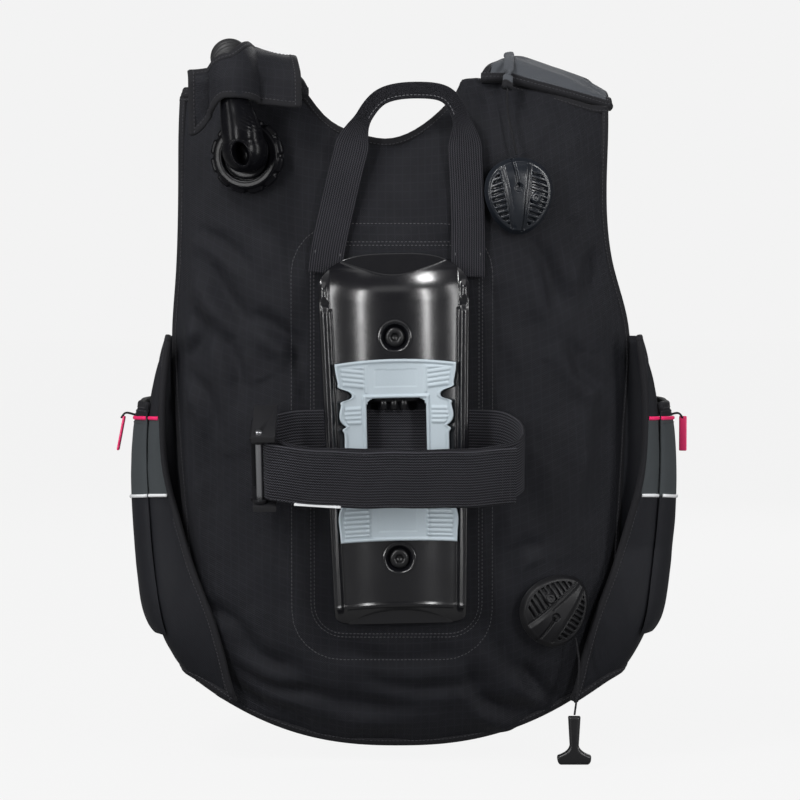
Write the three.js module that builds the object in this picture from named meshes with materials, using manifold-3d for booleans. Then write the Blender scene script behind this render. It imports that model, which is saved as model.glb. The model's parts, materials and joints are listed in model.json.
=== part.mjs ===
// Buoyancy compensator vest for scuba diving, in millimetres.
// Frame: worn upright with +Z up and +Y towards the wearer's front. The origin lies on the flat
// face that rests on the wearer's back, level with the middle of the tank plate. The wearer's left is -X.
import * as THREE from 'three';
import { mergeVertices } from 'three/addons/utils/BufferGeometryUtils.js';
import Module from 'manifold-3d';

const wasm = await Module();
wasm.setup();

const { PI, abs, cos, hypot, max, min, sin, sqrt } = Math;
const { lerp, smoothstep, degToRad } = THREE.MathUtils;
const LEFT = -1;
const RIGHT = 1;
const SIDES = { left: LEFT, right: RIGHT };
const nameOf = (side) => (side === LEFT ? 'left' : 'right');

// ---------------------------------------------------------------- driving dimensions
const GAP = 0.4; // left between pieces that touch
const BACK_MIDDLE_Y = -34; // middle surface of the back panel on the spine
const BACK_HALF_THICKNESS = 14;
const HEM_Z = -277;
const SHOULDER_SEAM_Z = 304; // where the back panel ends and the shoulder yokes begin
const RIDGE_Z = 338; // middle surface of a yoke at the top of the shoulder
const SIDE_REACH = 217; // middle surface of a side lobe at the hip
const SIDE_SHIFT = { left: 0, right: 12 }; // the empty vest hangs fuller on its right
const LOBE_FRONT_Y = 188;
const WEBBING_50 = 50; // tank band and waist strap
const WEBBING_38 = 38; // shoulder straps
const WEBBING_25 = 25; // chest strap
const WEBBING_THICKNESS = 2.6;
const TANK_RADIUS = 92; // the curve of the tank plate's cradle
const PLATE_BACK_Y = -51.8; // stands off the panel on the webbing that runs under it
const PLATE_CRADLE_Y = -62; // the deepest line of the cradle
const PLATE_LEAN = degToRad(-1.2); // the plate sits slightly out of plumb on the soft back
const PLATE_SCREW_Z = { upper: 91, lower: -103 };
const SCREW_SHAFT_RADIUS = 3;
const HOSE_RADIUS = 17;

// ---------------------------------------------------------------- colours
const BLACK_FABRIC = { color: 0x26272b, roughness: 0.82, metalness: 0 };
const BLACK_WEBBING = { color: 0x1a1a1c, roughness: 0.75, metalness: 0 };
const BLACK_GLOSS = { color: 0x121214, roughness: 0.22, metalness: 0 };
const BLACK_MATT = { color: 0x1b1b1d, roughness: 0.55, metalness: 0 };
const BLACK_RUBBER = { color: 0x161617, roughness: 0.6, metalness: 0 };
const GREY_GRIP = { color: 0xb2bec4, roughness: 0.6, metalness: 0 };
const PINK_PULL = { color: 0xe91e63, roughness: 0.5, metalness: 0 };
const STEEL = { color: 0xb9bcc0, roughness: 0.25, metalness: 1 };

// ---------------------------------------------------------------- tools for solids
const vest = new THREE.Group();
const v3 = (x, y, z) => new THREE.Vector3(x, y, z);

function positionsOnly(geometry) {
  const bare = new THREE.BufferGeometry().setAttribute('position', geometry.getAttribute('position'));
  if (geometry.index) bare.setIndex(geometry.index);
  return mergeVertices(bare, 1e-3);
}

function signedVolume(geometry) {
  const corner = [v3(0, 0, 0), v3(0, 0, 0), v3(0, 0, 0)];
  const place = geometry.attributes.position;
  let total = 0;
  for (let i = 0; i < geometry.index.count; i += 3) {
    for (const k of [0, 1, 2]) corner[k].fromBufferAttribute(place, geometry.index.getX(i + k));
    total += corner[0].dot(corner[1].cross(corner[2]));
  }
  return total / 6;
}

// The same closed surface with its faces pointing out.
function facingOut(geometry) {
  const clean = positionsOnly(geometry);
  if (signedVolume(clean) < 0) clean.setIndex([...clean.index.array].reverse());
  return clean;
}

function toSolid(geometry) {
  const clean = facingOut(geometry);
  return new wasm.Manifold(
    new wasm.Mesh({
      numProp: 3,
      vertProperties: new Float32Array(clean.attributes.position.array),
      triVerts: new Uint32Array(clean.index.array),
    }),
  );
}

function toGeometry(solid) {
  const mesh = solid.getMesh();
  const geometry = new THREE.BufferGeometry();
  geometry.setAttribute('position', new THREE.BufferAttribute(new Float32Array(mesh.vertProperties), 3));
  geometry.setIndex([...mesh.triVerts]);
  return geometry;
}

const cut = (body, ...tools) =>
  toGeometry(tools.reduce((rest, tool) => rest.subtract(toSolid(tool)), toSolid(body)));
const join = (body, ...more) => toGeometry(more.reduce((all, one) => all.add(toSolid(one)), toSolid(body)));
const common = (body, other) => toGeometry(toSolid(body).intersect(toSolid(other)));

function add(name, geometry, look, parent = vest) {
  const mesh = new THREE.Mesh(facingOut(geometry), new THREE.MeshStandardMaterial(look));
  mesh.name = name;
  parent.add(mesh);
  return mesh;
}

// A box from its size and the place of its middle.
const block = (size, place) => new THREE.BoxGeometry(...size).translate(...place);

// A turned shape about the Y axis from [radius, height] points.
function turned(points, segments = 24) {
  const profile = points.map(([radius, height]) => new THREE.Vector2(radius, height));
  return facingOut(new THREE.LatheGeometry(profile, segments));
}

// A plate from an outline in X and Z, from yBack to yFront, with a small bevel.
function plate(outline, yFrom, yTo, bevel = 0, curveSegments = 5) {
  const solid = new THREE.ExtrudeGeometry(outline, {
    depth: abs(yTo - yFrom) - 2 * bevel,
    bevelEnabled: bevel > 0,
    bevelSize: bevel,
    bevelOffset: -bevel,
    bevelThickness: bevel,
    bevelSegments: 1,
    curveSegments,
  });
  return solid.rotateX(PI / 2).translate(0, max(yFrom, yTo) - bevel, 0);
}

// A round rod of one radius along a path.
function rod(path, radius, sides, steps) {
  const section = new THREE.Shape().absarc(0, 0, radius, 0, 2 * PI);
  return new THREE.ExtrudeGeometry(section, {
    extrudePath: path,
    steps,
    curveSegments: sides / 2, // a full circle takes two segments for each
    bevelEnabled: false,
  });
}

const smoothPath = (points) => new THREE.CatmullRomCurve3(points.map((point) => v3(...point)), false, 'centripetal');

// A closed body skinned over rings of points, all with the same count, with flat ends.
function lofted(rings) {
  const count = rings[0].length;
  const positions = rings.flat().flatMap((point) => point.toArray());
  const faces = [];
  for (let j = 0; j + 1 < rings.length; j++) {
    for (let i = 0; i < count; i++) {
      const a = j * count + i;
      const b = j * count + ((i + 1) % count);
      faces.push(a, b, b + count, a, b + count, a + count);
    }
  }
  for (const [j, flip] of [[0, true], [rings.length - 1, false]]) {
    for (let i = 1; i + 1 < count; i++) {
      const fan = [j * count, j * count + i, j * count + i + 1];
      faces.push(...(flip ? fan.reverse() : fan));
    }
  }
  const geometry = new THREE.BufferGeometry();
  geometry.setAttribute('position', new THREE.Float32BufferAttribute(positions, 3));
  geometry.setIndex(faces);
  return geometry;
}

// A closed padded sheet: middle(u, v) is its middle surface and half(u, v) half its thickness.
const SHEET_STEP = 0.01;
function paddedSheet(columns, rows, middle, half) {
  const faceOf = (side) => {
    const points = [];
    for (let j = 0; j <= rows; j++) {
      for (let i = 0; i <= columns; i++) {
        const u = i / columns;
        const v = j / rows;
        const along = middle(min(u + SHEET_STEP, 1), v).sub(middle(max(u - SHEET_STEP, 0), v));
        const across = middle(u, min(v + SHEET_STEP, 1)).sub(middle(u, max(v - SHEET_STEP, 0)));
        const normal = along.cross(across).normalize();
        points.push(middle(u, v).addScaledVector(normal, side * half(u, v)));
      }
    }
    return points;
  };
  const points = [...faceOf(1), ...faceOf(-1)];
  const back = (columns + 1) * (rows + 1);
  const at = (i, j) => j * (columns + 1) + i;
  const faces = [];
  const quad = (a, b, c, d) => faces.push(a, b, c, a, c, d);
  for (let j = 0; j < rows; j++) {
    for (let i = 0; i < columns; i++) {
      quad(at(i, j), at(i + 1, j), at(i + 1, j + 1), at(i, j + 1));
      quad(back + at(i, j), back + at(i, j + 1), back + at(i + 1, j + 1), back + at(i + 1, j));
    }
  }
  for (let i = 0; i < columns; i++) {
    quad(at(i + 1, 0), at(i, 0), back + at(i, 0), back + at(i + 1, 0));
    quad(at(i, rows), at(i + 1, rows), back + at(i + 1, rows), back + at(i, rows));
  }
  for (let j = 0; j < rows; j++) {
    quad(at(0, j), at(0, j + 1), back + at(0, j + 1), back + at(0, j));
    quad(at(columns, j + 1), at(columns, j), back + at(columns, j), back + at(columns, j + 1));
  }
  const geometry = new THREE.BufferGeometry();
  geometry.setAttribute('position', new THREE.Float32BufferAttribute(points.flatMap((p) => p.toArray()), 3));
  geometry.setIndex(faces);
  return geometry;
}

// A smooth number along a short list of [place, value] pairs.
function graded(pairs) {
  const curve = new THREE.CubicInterpolant(pairs.map((p) => p[0]), pairs.map((p) => p[1]), 1, new Float32Array(1));
  const [first, last] = [pairs[0][0], pairs[pairs.length - 1][0]];
  return (place) => curve.evaluate(min(max(place, first), last))[0];
}

// How much of its thickness a padded sheet keeps near its edges.
const EDGE_SHARE = 0.4;
const EDGE_WIDTH = 0.12;
function pillow(u, v) {
  const toEdge = min(u, 1 - u, v, 1 - v) / EDGE_WIDTH;
  return EDGE_SHARE + (1 - EDGE_SHARE) * smoothstep(toEdge, 0, 1);
}

// A strap laid along a flat path of [a, b] points, thick in the path's plane and wide across it.
function strapOutline(points, thickness) {
  const side = (offset) =>
    points.map(([a, b], i) => {
      const [before, after] = [points[max(i - 1, 0)], points[min(i + 1, points.length - 1)]];
      const [da, db] = [after[0] - before[0], after[1] - before[1]];
      const length = hypot(da, db);
      return new THREE.Vector2(a - (offset * db) / length, b + (offset * da) / length);
    });
  return new THREE.Shape([...side(thickness / 2), ...side(-thickness / 2).reverse()]);
}

function smoothPoints(points, count) {
  const curve = new THREE.CatmullRomCurve3(points.map(([a, b]) => v3(a, b, 0)), false, 'centripetal');
  return curve.getPoints(count).map((p) => [p.x, p.y]);
}

// A strap whose path lies in X and Y, wide along Z.
function levelStrap(path, width, middleZ, thickness = WEBBING_THICKNESS) {
  const solid = new THREE.ExtrudeGeometry(strapOutline(path, thickness), { depth: width, bevelEnabled: false });
  return solid.translate(0, 0, middleZ - width / 2);
}

// A strap whose path lies in Y and Z, wide along X.
function uprightStrap(path, width, middleX, thickness = WEBBING_THICKNESS) {
  const solid = new THREE.ExtrudeGeometry(strapOutline(path, thickness), { depth: width, bevelEnabled: false });
  const uprightAxes = new THREE.Matrix4().makeBasis(v3(0, 1, 0), v3(0, 0, 1), v3(1, 0, 0));
  return solid.applyMatrix4(uprightAxes).translate(middleX - width / 2, 0, 0);
}

function roundedOutline(width, height, radius) {
  const [x, z] = [width / 2 - radius, height / 2 - radius];
  const shape = new THREE.Shape();
  shape.absarc(x, z, radius, 0, PI / 2);
  shape.absarc(-x, z, radius, PI / 2, PI);
  shape.absarc(-x, -z, radius, PI, 1.5 * PI);
  shape.absarc(x, -z, radius, 1.5 * PI, 2 * PI);
  return shape;
}

// ---------------------------------------------------------------- the back's middle surface
const SIDE_SWEEP = 42; // how far the armhole edges curve forward
const SHOULDER_SWEEP = 46; // how far the panel leans forward at the shoulder seam
const HEM_SWEEP = 34; // how far the hem curves forward
const SHOULDER_BEND_Z = 250;
const HEM_BEND_Z = -110;

function backY(x, z) {
  const aside = SIDE_SWEEP * (abs(x) / 198) ** 3.6;
  const above = SHOULDER_SWEEP * (max(z - SHOULDER_BEND_Z, 0) / (RIDGE_Z - SHOULDER_BEND_Z)) ** 2;
  const below = HEM_SWEEP * (max(HEM_BEND_Z - z, 0) / (HEM_BEND_Z - HEM_Z)) ** 2;
  return BACK_MIDDLE_Y + aside + above + below;
}

const hemZ = (x) => HEM_Z + 60 * (abs(x) / 200) ** 2.4;
const neckline = graded([
  [-100, 345], [-96, 335], [-70, 293], [-24, 267], [4, 264], [40, 281], [64, 304], [90, 339], [94, 349],
]);
const panelEdge = {
  left: graded([[-280, 172], [-200, 182], [-100, 188], [0, 196], [95, 200], [150, 196], [310, 193]]),
  right: graded([[-280, 180], [-200, 192], [-100, 198], [0, 204], [100, 206], [160, 190], [310, 187]]),
};
const NECK_SEAM = { left: 78, right: 64 }; // where the neckline meets the shoulder seam

// Round fittings on the back: their place, and the turn that follows the curved surface.
const FITTINGS = {
  elbow: { x: -129, z: 249, turn: degToRad(-14), seatRadius: 24, seatDepth: 16 },
  upper_dump: { x: 105.6, z: 214, turn: degToRad(8.5), seatRadius: 25, seatDepth: 16 },
  lower_dump: { x: 139, z: -150, turn: degToRad(16), seatRadius: 25, seatDepth: 16 },
};
const FITTING_PROUD = 15.5; // from the middle surface to a fitting's seat plane

function fittingGroup({ x, z, turn }) {
  const group = new THREE.Group();
  group.position.set(x, backY(x, z) - FITTING_PROUD, z);
  group.rotation.z = turn;
  vest.add(group);
  group.updateMatrixWorld(true);
  return group;
}

function inGroup(geometry, group) {
  return geometry.clone().applyMatrix4(group.matrixWorld);
}

const fittings = Object.fromEntries(Object.entries(FITTINGS).map(([name, fitting]) => [name, fittingGroup(fitting)]));

// ---------------------------------------------------------------- soft body
function backPanelMiddle(u, v) {
  const across = lerp(-panelEdge.left(0), panelEdge.right(0), u);
  const onShoulder = across < -NECK_SEAM.left || across > NECK_SEAM.right;
  const top = onShoulder ? SHOULDER_SEAM_Z : min(neckline(across), SHOULDER_SEAM_Z);
  const z = lerp(hemZ(across), top, v);
  const x = lerp(-panelEdge.left(z), panelEdge.right(z), u);
  return v3(x, backY(x, z), z);
}

function plateScrewPlace(which) {
  const z = PLATE_SCREW_Z[which];
  return [z * sin(PLATE_LEAN), z * cos(PLATE_LEAN)];
}

const SCREW_TUNNEL_RADIUS = 8;
const SEAT_FACE_RADIUS = 34; // the panel is flat under a fitting's flange
function backAirCell() {
  const body = paddedSheet(20, 14, backPanelMiddle, (u, v) => BACK_HALF_THICKNESS * pillow(u, v));
  const seats = Object.entries(FITTINGS).map(([name, { seatRadius, seatDepth }]) => {
    const well = new THREE.CylinderGeometry(seatRadius, seatRadius, 2 * seatDepth, 20);
    const face = new THREE.CylinderGeometry(SEAT_FACE_RADIUS, SEAT_FACE_RADIUS, 20, 24).translate(0, -10, 0);
    return inGroup(join(well, face), fittings[name]);
  });
  const tunnels = Object.keys(PLATE_SCREW_Z).map((which) => {
    const [x, z] = plateScrewPlace(which);
    return new THREE.CylinderGeometry(SCREW_TUNNEL_RADIUS, SCREW_TUNNEL_RADIUS, 60, 12).translate(x, BACK_MIDDLE_Y, z);
  });
  return cut(body, ...seats, ...tunnels);
}

const PAD_REAR_Y = -14; // clear of the back panel
const NUT_POCKET_DEPTH = 6;
function backPad() {
  const pad = plate(roundedOutline(190, 350, 40), PAD_REAR_Y, 0, 3).translate(0, 0, 25);
  const pockets = Object.keys(PLATE_SCREW_Z).map((which) => {
    const [x, z] = plateScrewPlace(which);
    return new THREE.CylinderGeometry(12, 12, 2 * NUT_POCKET_DEPTH, 16).translate(x, PAD_REAR_Y, z);
  });
  return cut(pad, ...pockets);
}

// A yoke runs from the shoulder seam over the ridge and down the chest.
const YOKE_HALF_THICKNESS = 7;
const YOKE_SEAM_GAP = 3;
const SHOULDER_FALL = 0.34; // the ridge falls away towards the arm
const HOSE_DIP = 14; // the left yoke is pressed down under the hose
const yokePath = smoothPath([
  [0, 24, SHOULDER_SEAM_Z + YOKE_SEAM_GAP], [0, 44, 325], [0, 74, RIDGE_Z], [0, 104, 334], [0, 134, 306],
  [0, 154, 262], [0, 164, 210], [0, 168, 140],
]);
const yokeInner = graded([[0, 66], [0.2, 92], [0.45, 96], [0.7, 90], [1, 84]]);
const yokeOuter = graded([[0, 191], [0.3, 190], [0.5, 182], [0.75, 164], [1, 150]]);

function yokeMiddle(side, u, v) {
  const inner = lerp(NECK_SEAM[nameOf(side)], yokeInner(v), smoothstep(v, 0, 0.2));
  const x = lerp(inner, yokeOuter(v), u);
  const spot = yokePath.getPoint(v);
  const onRidge = smoothstep(v, 0, 0.22) * (1 - smoothstep(v, 0.55, 0.85));
  const dip = side === LEFT ? HOSE_DIP * max(0, 1 - ((x - 150) / 34) ** 2) : 0;
  const drop = onRidge * (SHOULDER_FALL * max(0, x - 105) + dip);
  const fromBack = (1 - smoothstep(v, 0, 0.4)) * (backY(x, SHOULDER_SEAM_Z) - yokePath.getPoint(0).y + 1);
  return v3(side * x, spot.y + fromBack, spot.z - drop);
}

// A webbing tab on the chest holds a D-ring's bar.
const D_RING = { halfWidth: 17, height: 32, bar: 4 };
const D_RING_PLACE = { left: v3(-104, 177, 246), right: v3(128, 177, 246) };

function yoke(side) {
  const halfThickness = (u) => YOKE_HALF_THICKNESS * (0.5 + 0.5 * pillow(u, 0.5));
  const pad = paddedSheet(6, 14, (u, v) => yokeMiddle(side, u, v), halfThickness);
  const { x, y, z } = D_RING_PLACE[nameOf(side)];
  const tab = block([20, 24, 10], [x, y - 7, z]);
  const eye = new THREE.CylinderGeometry(3.1, 3.1, 40, 12).rotateZ(PI / 2).translate(x, y, z);
  return cut(join(pad, tab), eye);
}

// A side lobe wraps from the back panel round the hip to the front.
const LOBE_HALF_THICKNESS = 10;
const lobeRearX = graded([
  [-235, 147], [-190, 156], [-165, 163], [-116, 182], [-77, 194], [-31, 206], [24, 209], [97, 203],
]);
const lobeReach = graded([[-215, 186], [-169, 203], [-119, 211], [-20, SIDE_REACH], [60, 212], [97, 206]]);
const lobeTop = graded([[0, 92], [0.18, 72], [0.36, 40], [0.6, 34], [1, 62]]);
const lobeBottom = graded([[0, -226], [0.15, -228], [0.3, -214], [0.5, -196], [1, -176]]);
const LOBE_REAR_Y = -9; // a lobe's rear edge stands behind the panel's edge

function lobeCurve(side, z) {
  const shift = SIDE_SHIFT[nameOf(side)];
  const rear = lobeRearX(z) + shift;
  const rearY = min(backY(rear, z) - BACK_HALF_THICKNESS * 0.85 - LOBE_HALF_THICKNESS * 0.5 - 1, LOBE_REAR_Y);
  const reach = lobeReach(z) + shift;
  return smoothPath([
    [side * rear, rearY, z], [side * (reach - 1), rearY + 12, z], [side * reach, 42, z],
    [side * reach, 85, z], [side * (reach - 14), 130, z], [side * (reach - 48), 168, z],
    [side * 118, LOBE_FRONT_Y, z], [side * 62, LOBE_FRONT_Y + 4, z],
  ]);
}

function lobeMiddle(side, u, v) {
  const z = lerp(lobeBottom(u), lobeTop(u), v);
  return lobeCurve(side, z).getPoint(u);
}

function sideLobe(side) {
  return paddedSheet(16, 8, (u, v) => lobeMiddle(side, u, v), (u, v) => LOBE_HALF_THICKNESS * pillow(u, v));
}

// A hip pocket is a second padded sheet on the outside of the lobe.
const POCKET_HALF_THICKNESS = 8;
const POCKET_RANGE = { from: 0.17, to: 0.6, bottom: -176, top: 30 };
function pocketMiddle(side, u, v) {
  const along = lerp(POCKET_RANGE.from, POCKET_RANGE.to, u);
  const z = lerp(POCKET_RANGE.bottom, POCKET_RANGE.top, v);
  const curve = lobeCurve(side, z);
  const tangent = curve.getTangent(along);
  const outward = v3(tangent.y, -tangent.x, 0).multiplyScalar(side).normalize();
  const clear = LOBE_HALF_THICKNESS + POCKET_HALF_THICKNESS + 1.5;
  return curve.getPoint(along).addScaledVector(outward, clear);
}

function hipPocket(side) {
  return paddedSheet(8, 6, (u, v) => pocketMiddle(side, u, v), (u, v) => POCKET_HALF_THICKNESS * pillow(u, v));
}

// The cummerbund halves run under the lobes and overlap in front.
const CUMMERBUND_HALF_THICKNESS = 3;
function cummerbund(side) {
  const overlapY = side === RIGHT ? 8 : 0;
  const curve = smoothPath([
    [side * 112, -9, 0], [side * 160, 20, 0], [side * 184, 62, 0], [side * 178, 112, 0],
    [side * 140, 146, 0], [side * 70, 156 + overlapY, 0], [side * -20, 158 + overlapY, 0],
  ]);
  const middle = (u, v) => curve.getPoint(u).setZ(lerp(-120, 0, v));
  return paddedSheet(14, 2, middle, () => CUMMERBUND_HALF_THICKNESS);
}

// ---------------------------------------------------------------- hose and its cover
const hosePath = smoothPath([
  [-141, -64, 305.5], [-141.5, -60, 318], [-145, -42, 332], [-149, 0, 337.5], [-151, 60, 339], [-151, 106, 336],
  [-150, 150, 314], [-148, 180, 270], [-147, 194, 222], [-146, 201, 165], [-146, 210, 110],
]);
const FLAP_CLEARANCE = 3.6; // from the hose's surface to the flap's middle
const FLAP_HALF_THICKNESS = 1.5;
const FLAP_LENGTH_SHARE = 0.36; // of the hose's length

const FLAP_SKIRT = { neck: 50, arm: 34 }; // how far the flap reaches to either side of the hose

const neckSkirt = graded([[0, -36], [0.15, -30], [0.4, 8], [1, 14]]); // the flap's lift at its neck edge
const armSkirt = graded([[0, -16], [0.4, -6], [1, -6]]);

function hoseFlap() {
  const reach = HOSE_RADIUS + FLAP_CLEARANCE;
  const middle = (u, v) => {
    const along = lerp(0.012, FLAP_LENGTH_SHARE, v);
    const tangent = hosePath.getTangent(along);
    const outward = v3(0, -tangent.z, tangent.y).normalize();
    const across = lerp(FLAP_SKIRT.neck, -FLAP_SKIRT.arm, u);
    const overHose = abs(across) < reach ? sqrt(reach ** 2 - across ** 2) : 0;
    const neckShare = across / FLAP_SKIRT.neck;
    const armShare = -across / FLAP_SKIRT.arm;
    const skirt = across > 0 ? lerp(4, neckSkirt(v), neckShare) : lerp(4, armSkirt(v), armShare);
    const lift = max(overHose, skirt);
    return hosePath.getPoint(along).add(v3(across, 0, 0)).addScaledVector(outward, lift);
  };
  return paddedSheet(16, 7, middle, () => FLAP_HALF_THICKNESS);
}

add('back_air_cell', backAirCell(), BLACK_FABRIC);
add('back_pad', backPad(), BLACK_FABRIC);
for (const [name, side] of Object.entries(SIDES)) {
  add(`${name}_shoulder_yoke`, yoke(side), BLACK_FABRIC);
  add(`${name}_side_lobe`, sideLobe(side), BLACK_FABRIC);
  add(`${name}_hip_pocket`, hipPocket(side), BLACK_FABRIC);
  add(`${name}_cummerbund`, cummerbund(side), BLACK_FABRIC);
}
add('hose_cover_flap', hoseFlap(), BLACK_FABRIC);
add('corrugated_hose', rod(hosePath, HOSE_RADIUS, 12, 22), BLACK_RUBBER);

// ---------------------------------------------------------------- carry handle
// Two flat strands rise from under the plate's top corners to a folded grip above the neckline.
const handlePath = smoothPath([
  [-63, -49.9, 146], [-60, -49.9, 168], [-53, -50.6, 200], [-42, -51, 246], [-33, -51, 275], [-14, -52, 300],
  [20, -52, 306],
  [44, -52, 301], [56, -51, 280], [60, -50.8, 240], [62, -50.6, 190], [62, -49.9, 168], [62, -49.9, 143],
]);
const STRAND_WIDTH = 30;
const GRIP_SIZE = { width: 14, thickness: 9 };

function carryHandle() {
  const steps = 26;
  const rings = [];
  for (let i = 0; i <= steps; i++) {
    const t = i / steps;
    const spot = handlePath.getPoint(t);
    const along = handlePath.getTangent(t);
    const across = v3(along.z, 0, -along.x).normalize();
    const inGrip = smoothstep(t, 0.28, 0.38) * (1 - smoothstep(t, 0.62, 0.72));
    const halfWidth = lerp(STRAND_WIDTH, GRIP_SIZE.width, inGrip) / 2;
    const halfThickness = lerp(WEBBING_THICKNESS, GRIP_SIZE.thickness, inGrip) / 2;
    rings.push([[1, 1], [1, -1], [-1, -1], [-1, 1]].map(([w, t2]) =>
      spot.clone().addScaledVector(across, w * halfWidth).add(v3(0, t2 * halfThickness, 0)),
    ));
  }
  return lofted(rings);
}
add('carry_handle', carryHandle(), BLACK_WEBBING);

// ---------------------------------------------------------------- tank plate with its grip pad
const plateGroup = new THREE.Group();
plateGroup.rotation.y = PLATE_LEAN;
vest.add(plateGroup);

const PLATE_TOP_Z = 164;
const PLATE_SHOULDER_Z = 132;
const PLATE_BOTTOM_Z = -161;
const PLATE_HALF_WIDTH = { top: 66, bottom: 58 };
const PLATE_CORNER = 14;

function plateOutline(inset) {
  const [top, bottom] = [PLATE_HALF_WIDTH.top - inset, PLATE_HALF_WIDTH.bottom - inset];
  const [high, low] = [PLATE_TOP_Z - inset, PLATE_BOTTOM_Z + inset];
  const shape = new THREE.Shape();
  shape.moveTo(-top, PLATE_SHOULDER_Z);
  shape.quadraticCurveTo(-top + 6, high, 0, high);
  shape.quadraticCurveTo(top - 6, high, top, PLATE_SHOULDER_Z);
  shape.lineTo(bottom, low + PLATE_CORNER);
  shape.quadraticCurveTo(bottom, low, bottom - PLATE_CORNER, low);
  shape.lineTo(-bottom + PLATE_CORNER, low);
  shape.quadraticCurveTo(-bottom, low, -bottom, low + PLATE_CORNER);
  shape.closePath();
  return shape;
}

const PLATE_WALL = 4;
const tankAxisY = PLATE_CRADLE_Y - TANK_RADIUS;
const PLATE_FRONT_Y = -81;
const PLATE_WINDOW = { halfWidth: 26, halfHeight: 38 };
const SCREW_RECESS = { radius: 11, floorY: -57.5 };
const SCREW_HOLE_RADIUS = 3.4;

const CRADLE_FACETS = 72; // turned by half a facet, so that the middle one faces straight out
const tankCylinder = (radius) =>
  new THREE.CylinderGeometry(radius, radius, 500, CRADLE_FACETS)
    .rotateY(PI / CRADLE_FACETS)
    .rotateX(PI / 2)
    .translate(0, tankAxisY, 0);
const alongY = (radius, yFrom, yTo, x, z, segments = 16) =>
  new THREE.CylinderGeometry(radius, radius, abs(yTo - yFrom), segments).translate(x, (yFrom + yTo) / 2, z);

function tankPlate() {
  const outer = cut(plate(plateOutline(0), PLATE_BACK_Y, PLATE_FRONT_Y, 4), tankCylinder(TANK_RADIUS));
  const inside = plate(plateOutline(PLATE_WALL), PLATE_BACK_Y + 1, PLATE_FRONT_Y + PLATE_WALL);
  const hollow = cut(inside, tankCylinder(TANK_RADIUS + PLATE_WALL));
  const bosses = Object.values(PLATE_SCREW_Z).map((z) =>
    cut(alongY(SCREW_RECESS.radius + 4, PLATE_BACK_Y, PLATE_CRADLE_Y - 3, 0, z), tankCylinder(TANK_RADIUS)),
  );
  const recesses = Object.values(PLATE_SCREW_Z).flatMap((z) => [
    alongY(SCREW_RECESS.radius, SCREW_RECESS.floorY, PLATE_FRONT_Y, 0, z),
    alongY(SCREW_HOLE_RADIUS, PLATE_BACK_Y + 5, PLATE_FRONT_Y, 0, z),
  ]);
  const window = block([2 * PLATE_WINDOW.halfWidth, 60, 2 * PLATE_WINDOW.halfHeight], [0, PLATE_CRADLE_Y, 0]);
  return cut(join(cut(outer, hollow), ...bosses), ...recesses, window);
}
add('tank_plate', tankPlate(), BLACK_GLOSS, plateGroup);

const PAD_THICKNESS = 3;
const GRIP_PAD = { halfWidth: 52, top: 69, bottom: -87, cornerRadius: 8 };
function gripPad() {
  const { halfWidth, top, bottom, cornerRadius } = GRIP_PAD;
  const outline = roundedOutline(2 * halfWidth, top - bottom, cornerRadius);
  const slab = new THREE.ExtrudeGeometry(outline, { depth: 30, bevelEnabled: false, curveSegments: 6 });
  slab.rotateX(PI / 2).translate(0, PLATE_CRADLE_Y + 6, (top + bottom) / 2);
  const backRadius = TANK_RADIUS - GAP;
  const shell = cut(common(slab, tankCylinder(backRadius)), tankCylinder(backRadius - PAD_THICKNESS));
  const window = block([2 * PLATE_WINDOW.halfWidth, 60, 2 * PLATE_WINDOW.halfHeight], [0, PLATE_CRADLE_Y, 0]);
  return cut(shell, window);
}
add('tank_grip_pad', gripPad(), GREY_GRIP, plateGroup);

for (const [which, z] of Object.entries(PLATE_SCREW_Z)) {
  const head = alongY(8.5, SCREW_RECESS.floorY - GAP, SCREW_RECESS.floorY - 4, 0, z);
  const shaft = alongY(SCREW_SHAFT_RADIUS, SCREW_RECESS.floorY - 2, -22, 0, z, 16);
  const slot = block([14, 3, 2], [0, SCREW_RECESS.floorY - 4, z]);
  add(`plate_screw_${which}`, cut(join(head, shaft), slot), STEEL, plateGroup);

  const flangeY = PAD_REAR_Y;
  const nut = join(alongY(10, flangeY + GAP, flangeY + 4, 0, z), alongY(6, flangeY + 1, flangeY - 14, 0, z));
  const bore = alongY(SCREW_SHAFT_RADIUS + GAP, flangeY - 20, -20, 0, z, 16);
  add(`plate_nut_${which}`, cut(nut, bore), STEEL, plateGroup);
}

// ---------------------------------------------------------------- tank band and cam buckle
// The loop lies slack: it leaves the plate on both sides and its front hangs lower than its rear.
const BUCKLE_TILT = degToRad(23); // the loop's front and its buckle lean out at the top
const BAND_REAR_Y = -50;
const BAND_DROP = 28.3; // of the front strand's middle below the rear strand's
const BAND_FRONT_Y = -126;
const BAND_LENGTH_POINTS = 60;

function tankBand() {
  const path = smoothPoints([
    [-116, -62.5], [-104, -58.5], [-90, -52], [-70, BAND_REAR_Y], [0, BAND_REAR_Y], [70, BAND_REAR_Y],
    [92, -54], [107, -74], [108, -96], [95, -112], [50, -121], [-20, -122], [-84, -115],
    [-104, -104.4], [-118, -103.2], [-123, -108.3], [-118, -113.4], [-104, -116],
    [-84, -121], [-20, BAND_FRONT_Y - 1.5], [50, BAND_FRONT_Y - 0.5], [102, -118.5],
  ], BAND_LENGTH_POINTS);
  const solid = levelStrap(path, WEBBING_50, 0);
  const place = solid.attributes.position;
  for (let i = 0; i < place.count; i++) {
    const forward = (BAND_REAR_Y - place.getY(i)) / (BAND_REAR_Y - BAND_FRONT_Y);
    const tilt = smoothstep(forward, 0.2, 0.72) * BUCKLE_TILT;
    const aboveMiddle = place.getZ(i);
    place.setY(i, place.getY(i) - aboveMiddle * sin(tilt));
    place.setZ(i, aboveMiddle * cos(tilt) - BAND_DROP * max(forward, 0));
  }
  return solid;
}
add('tank_band', tankBand(), BLACK_WEBBING);

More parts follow.
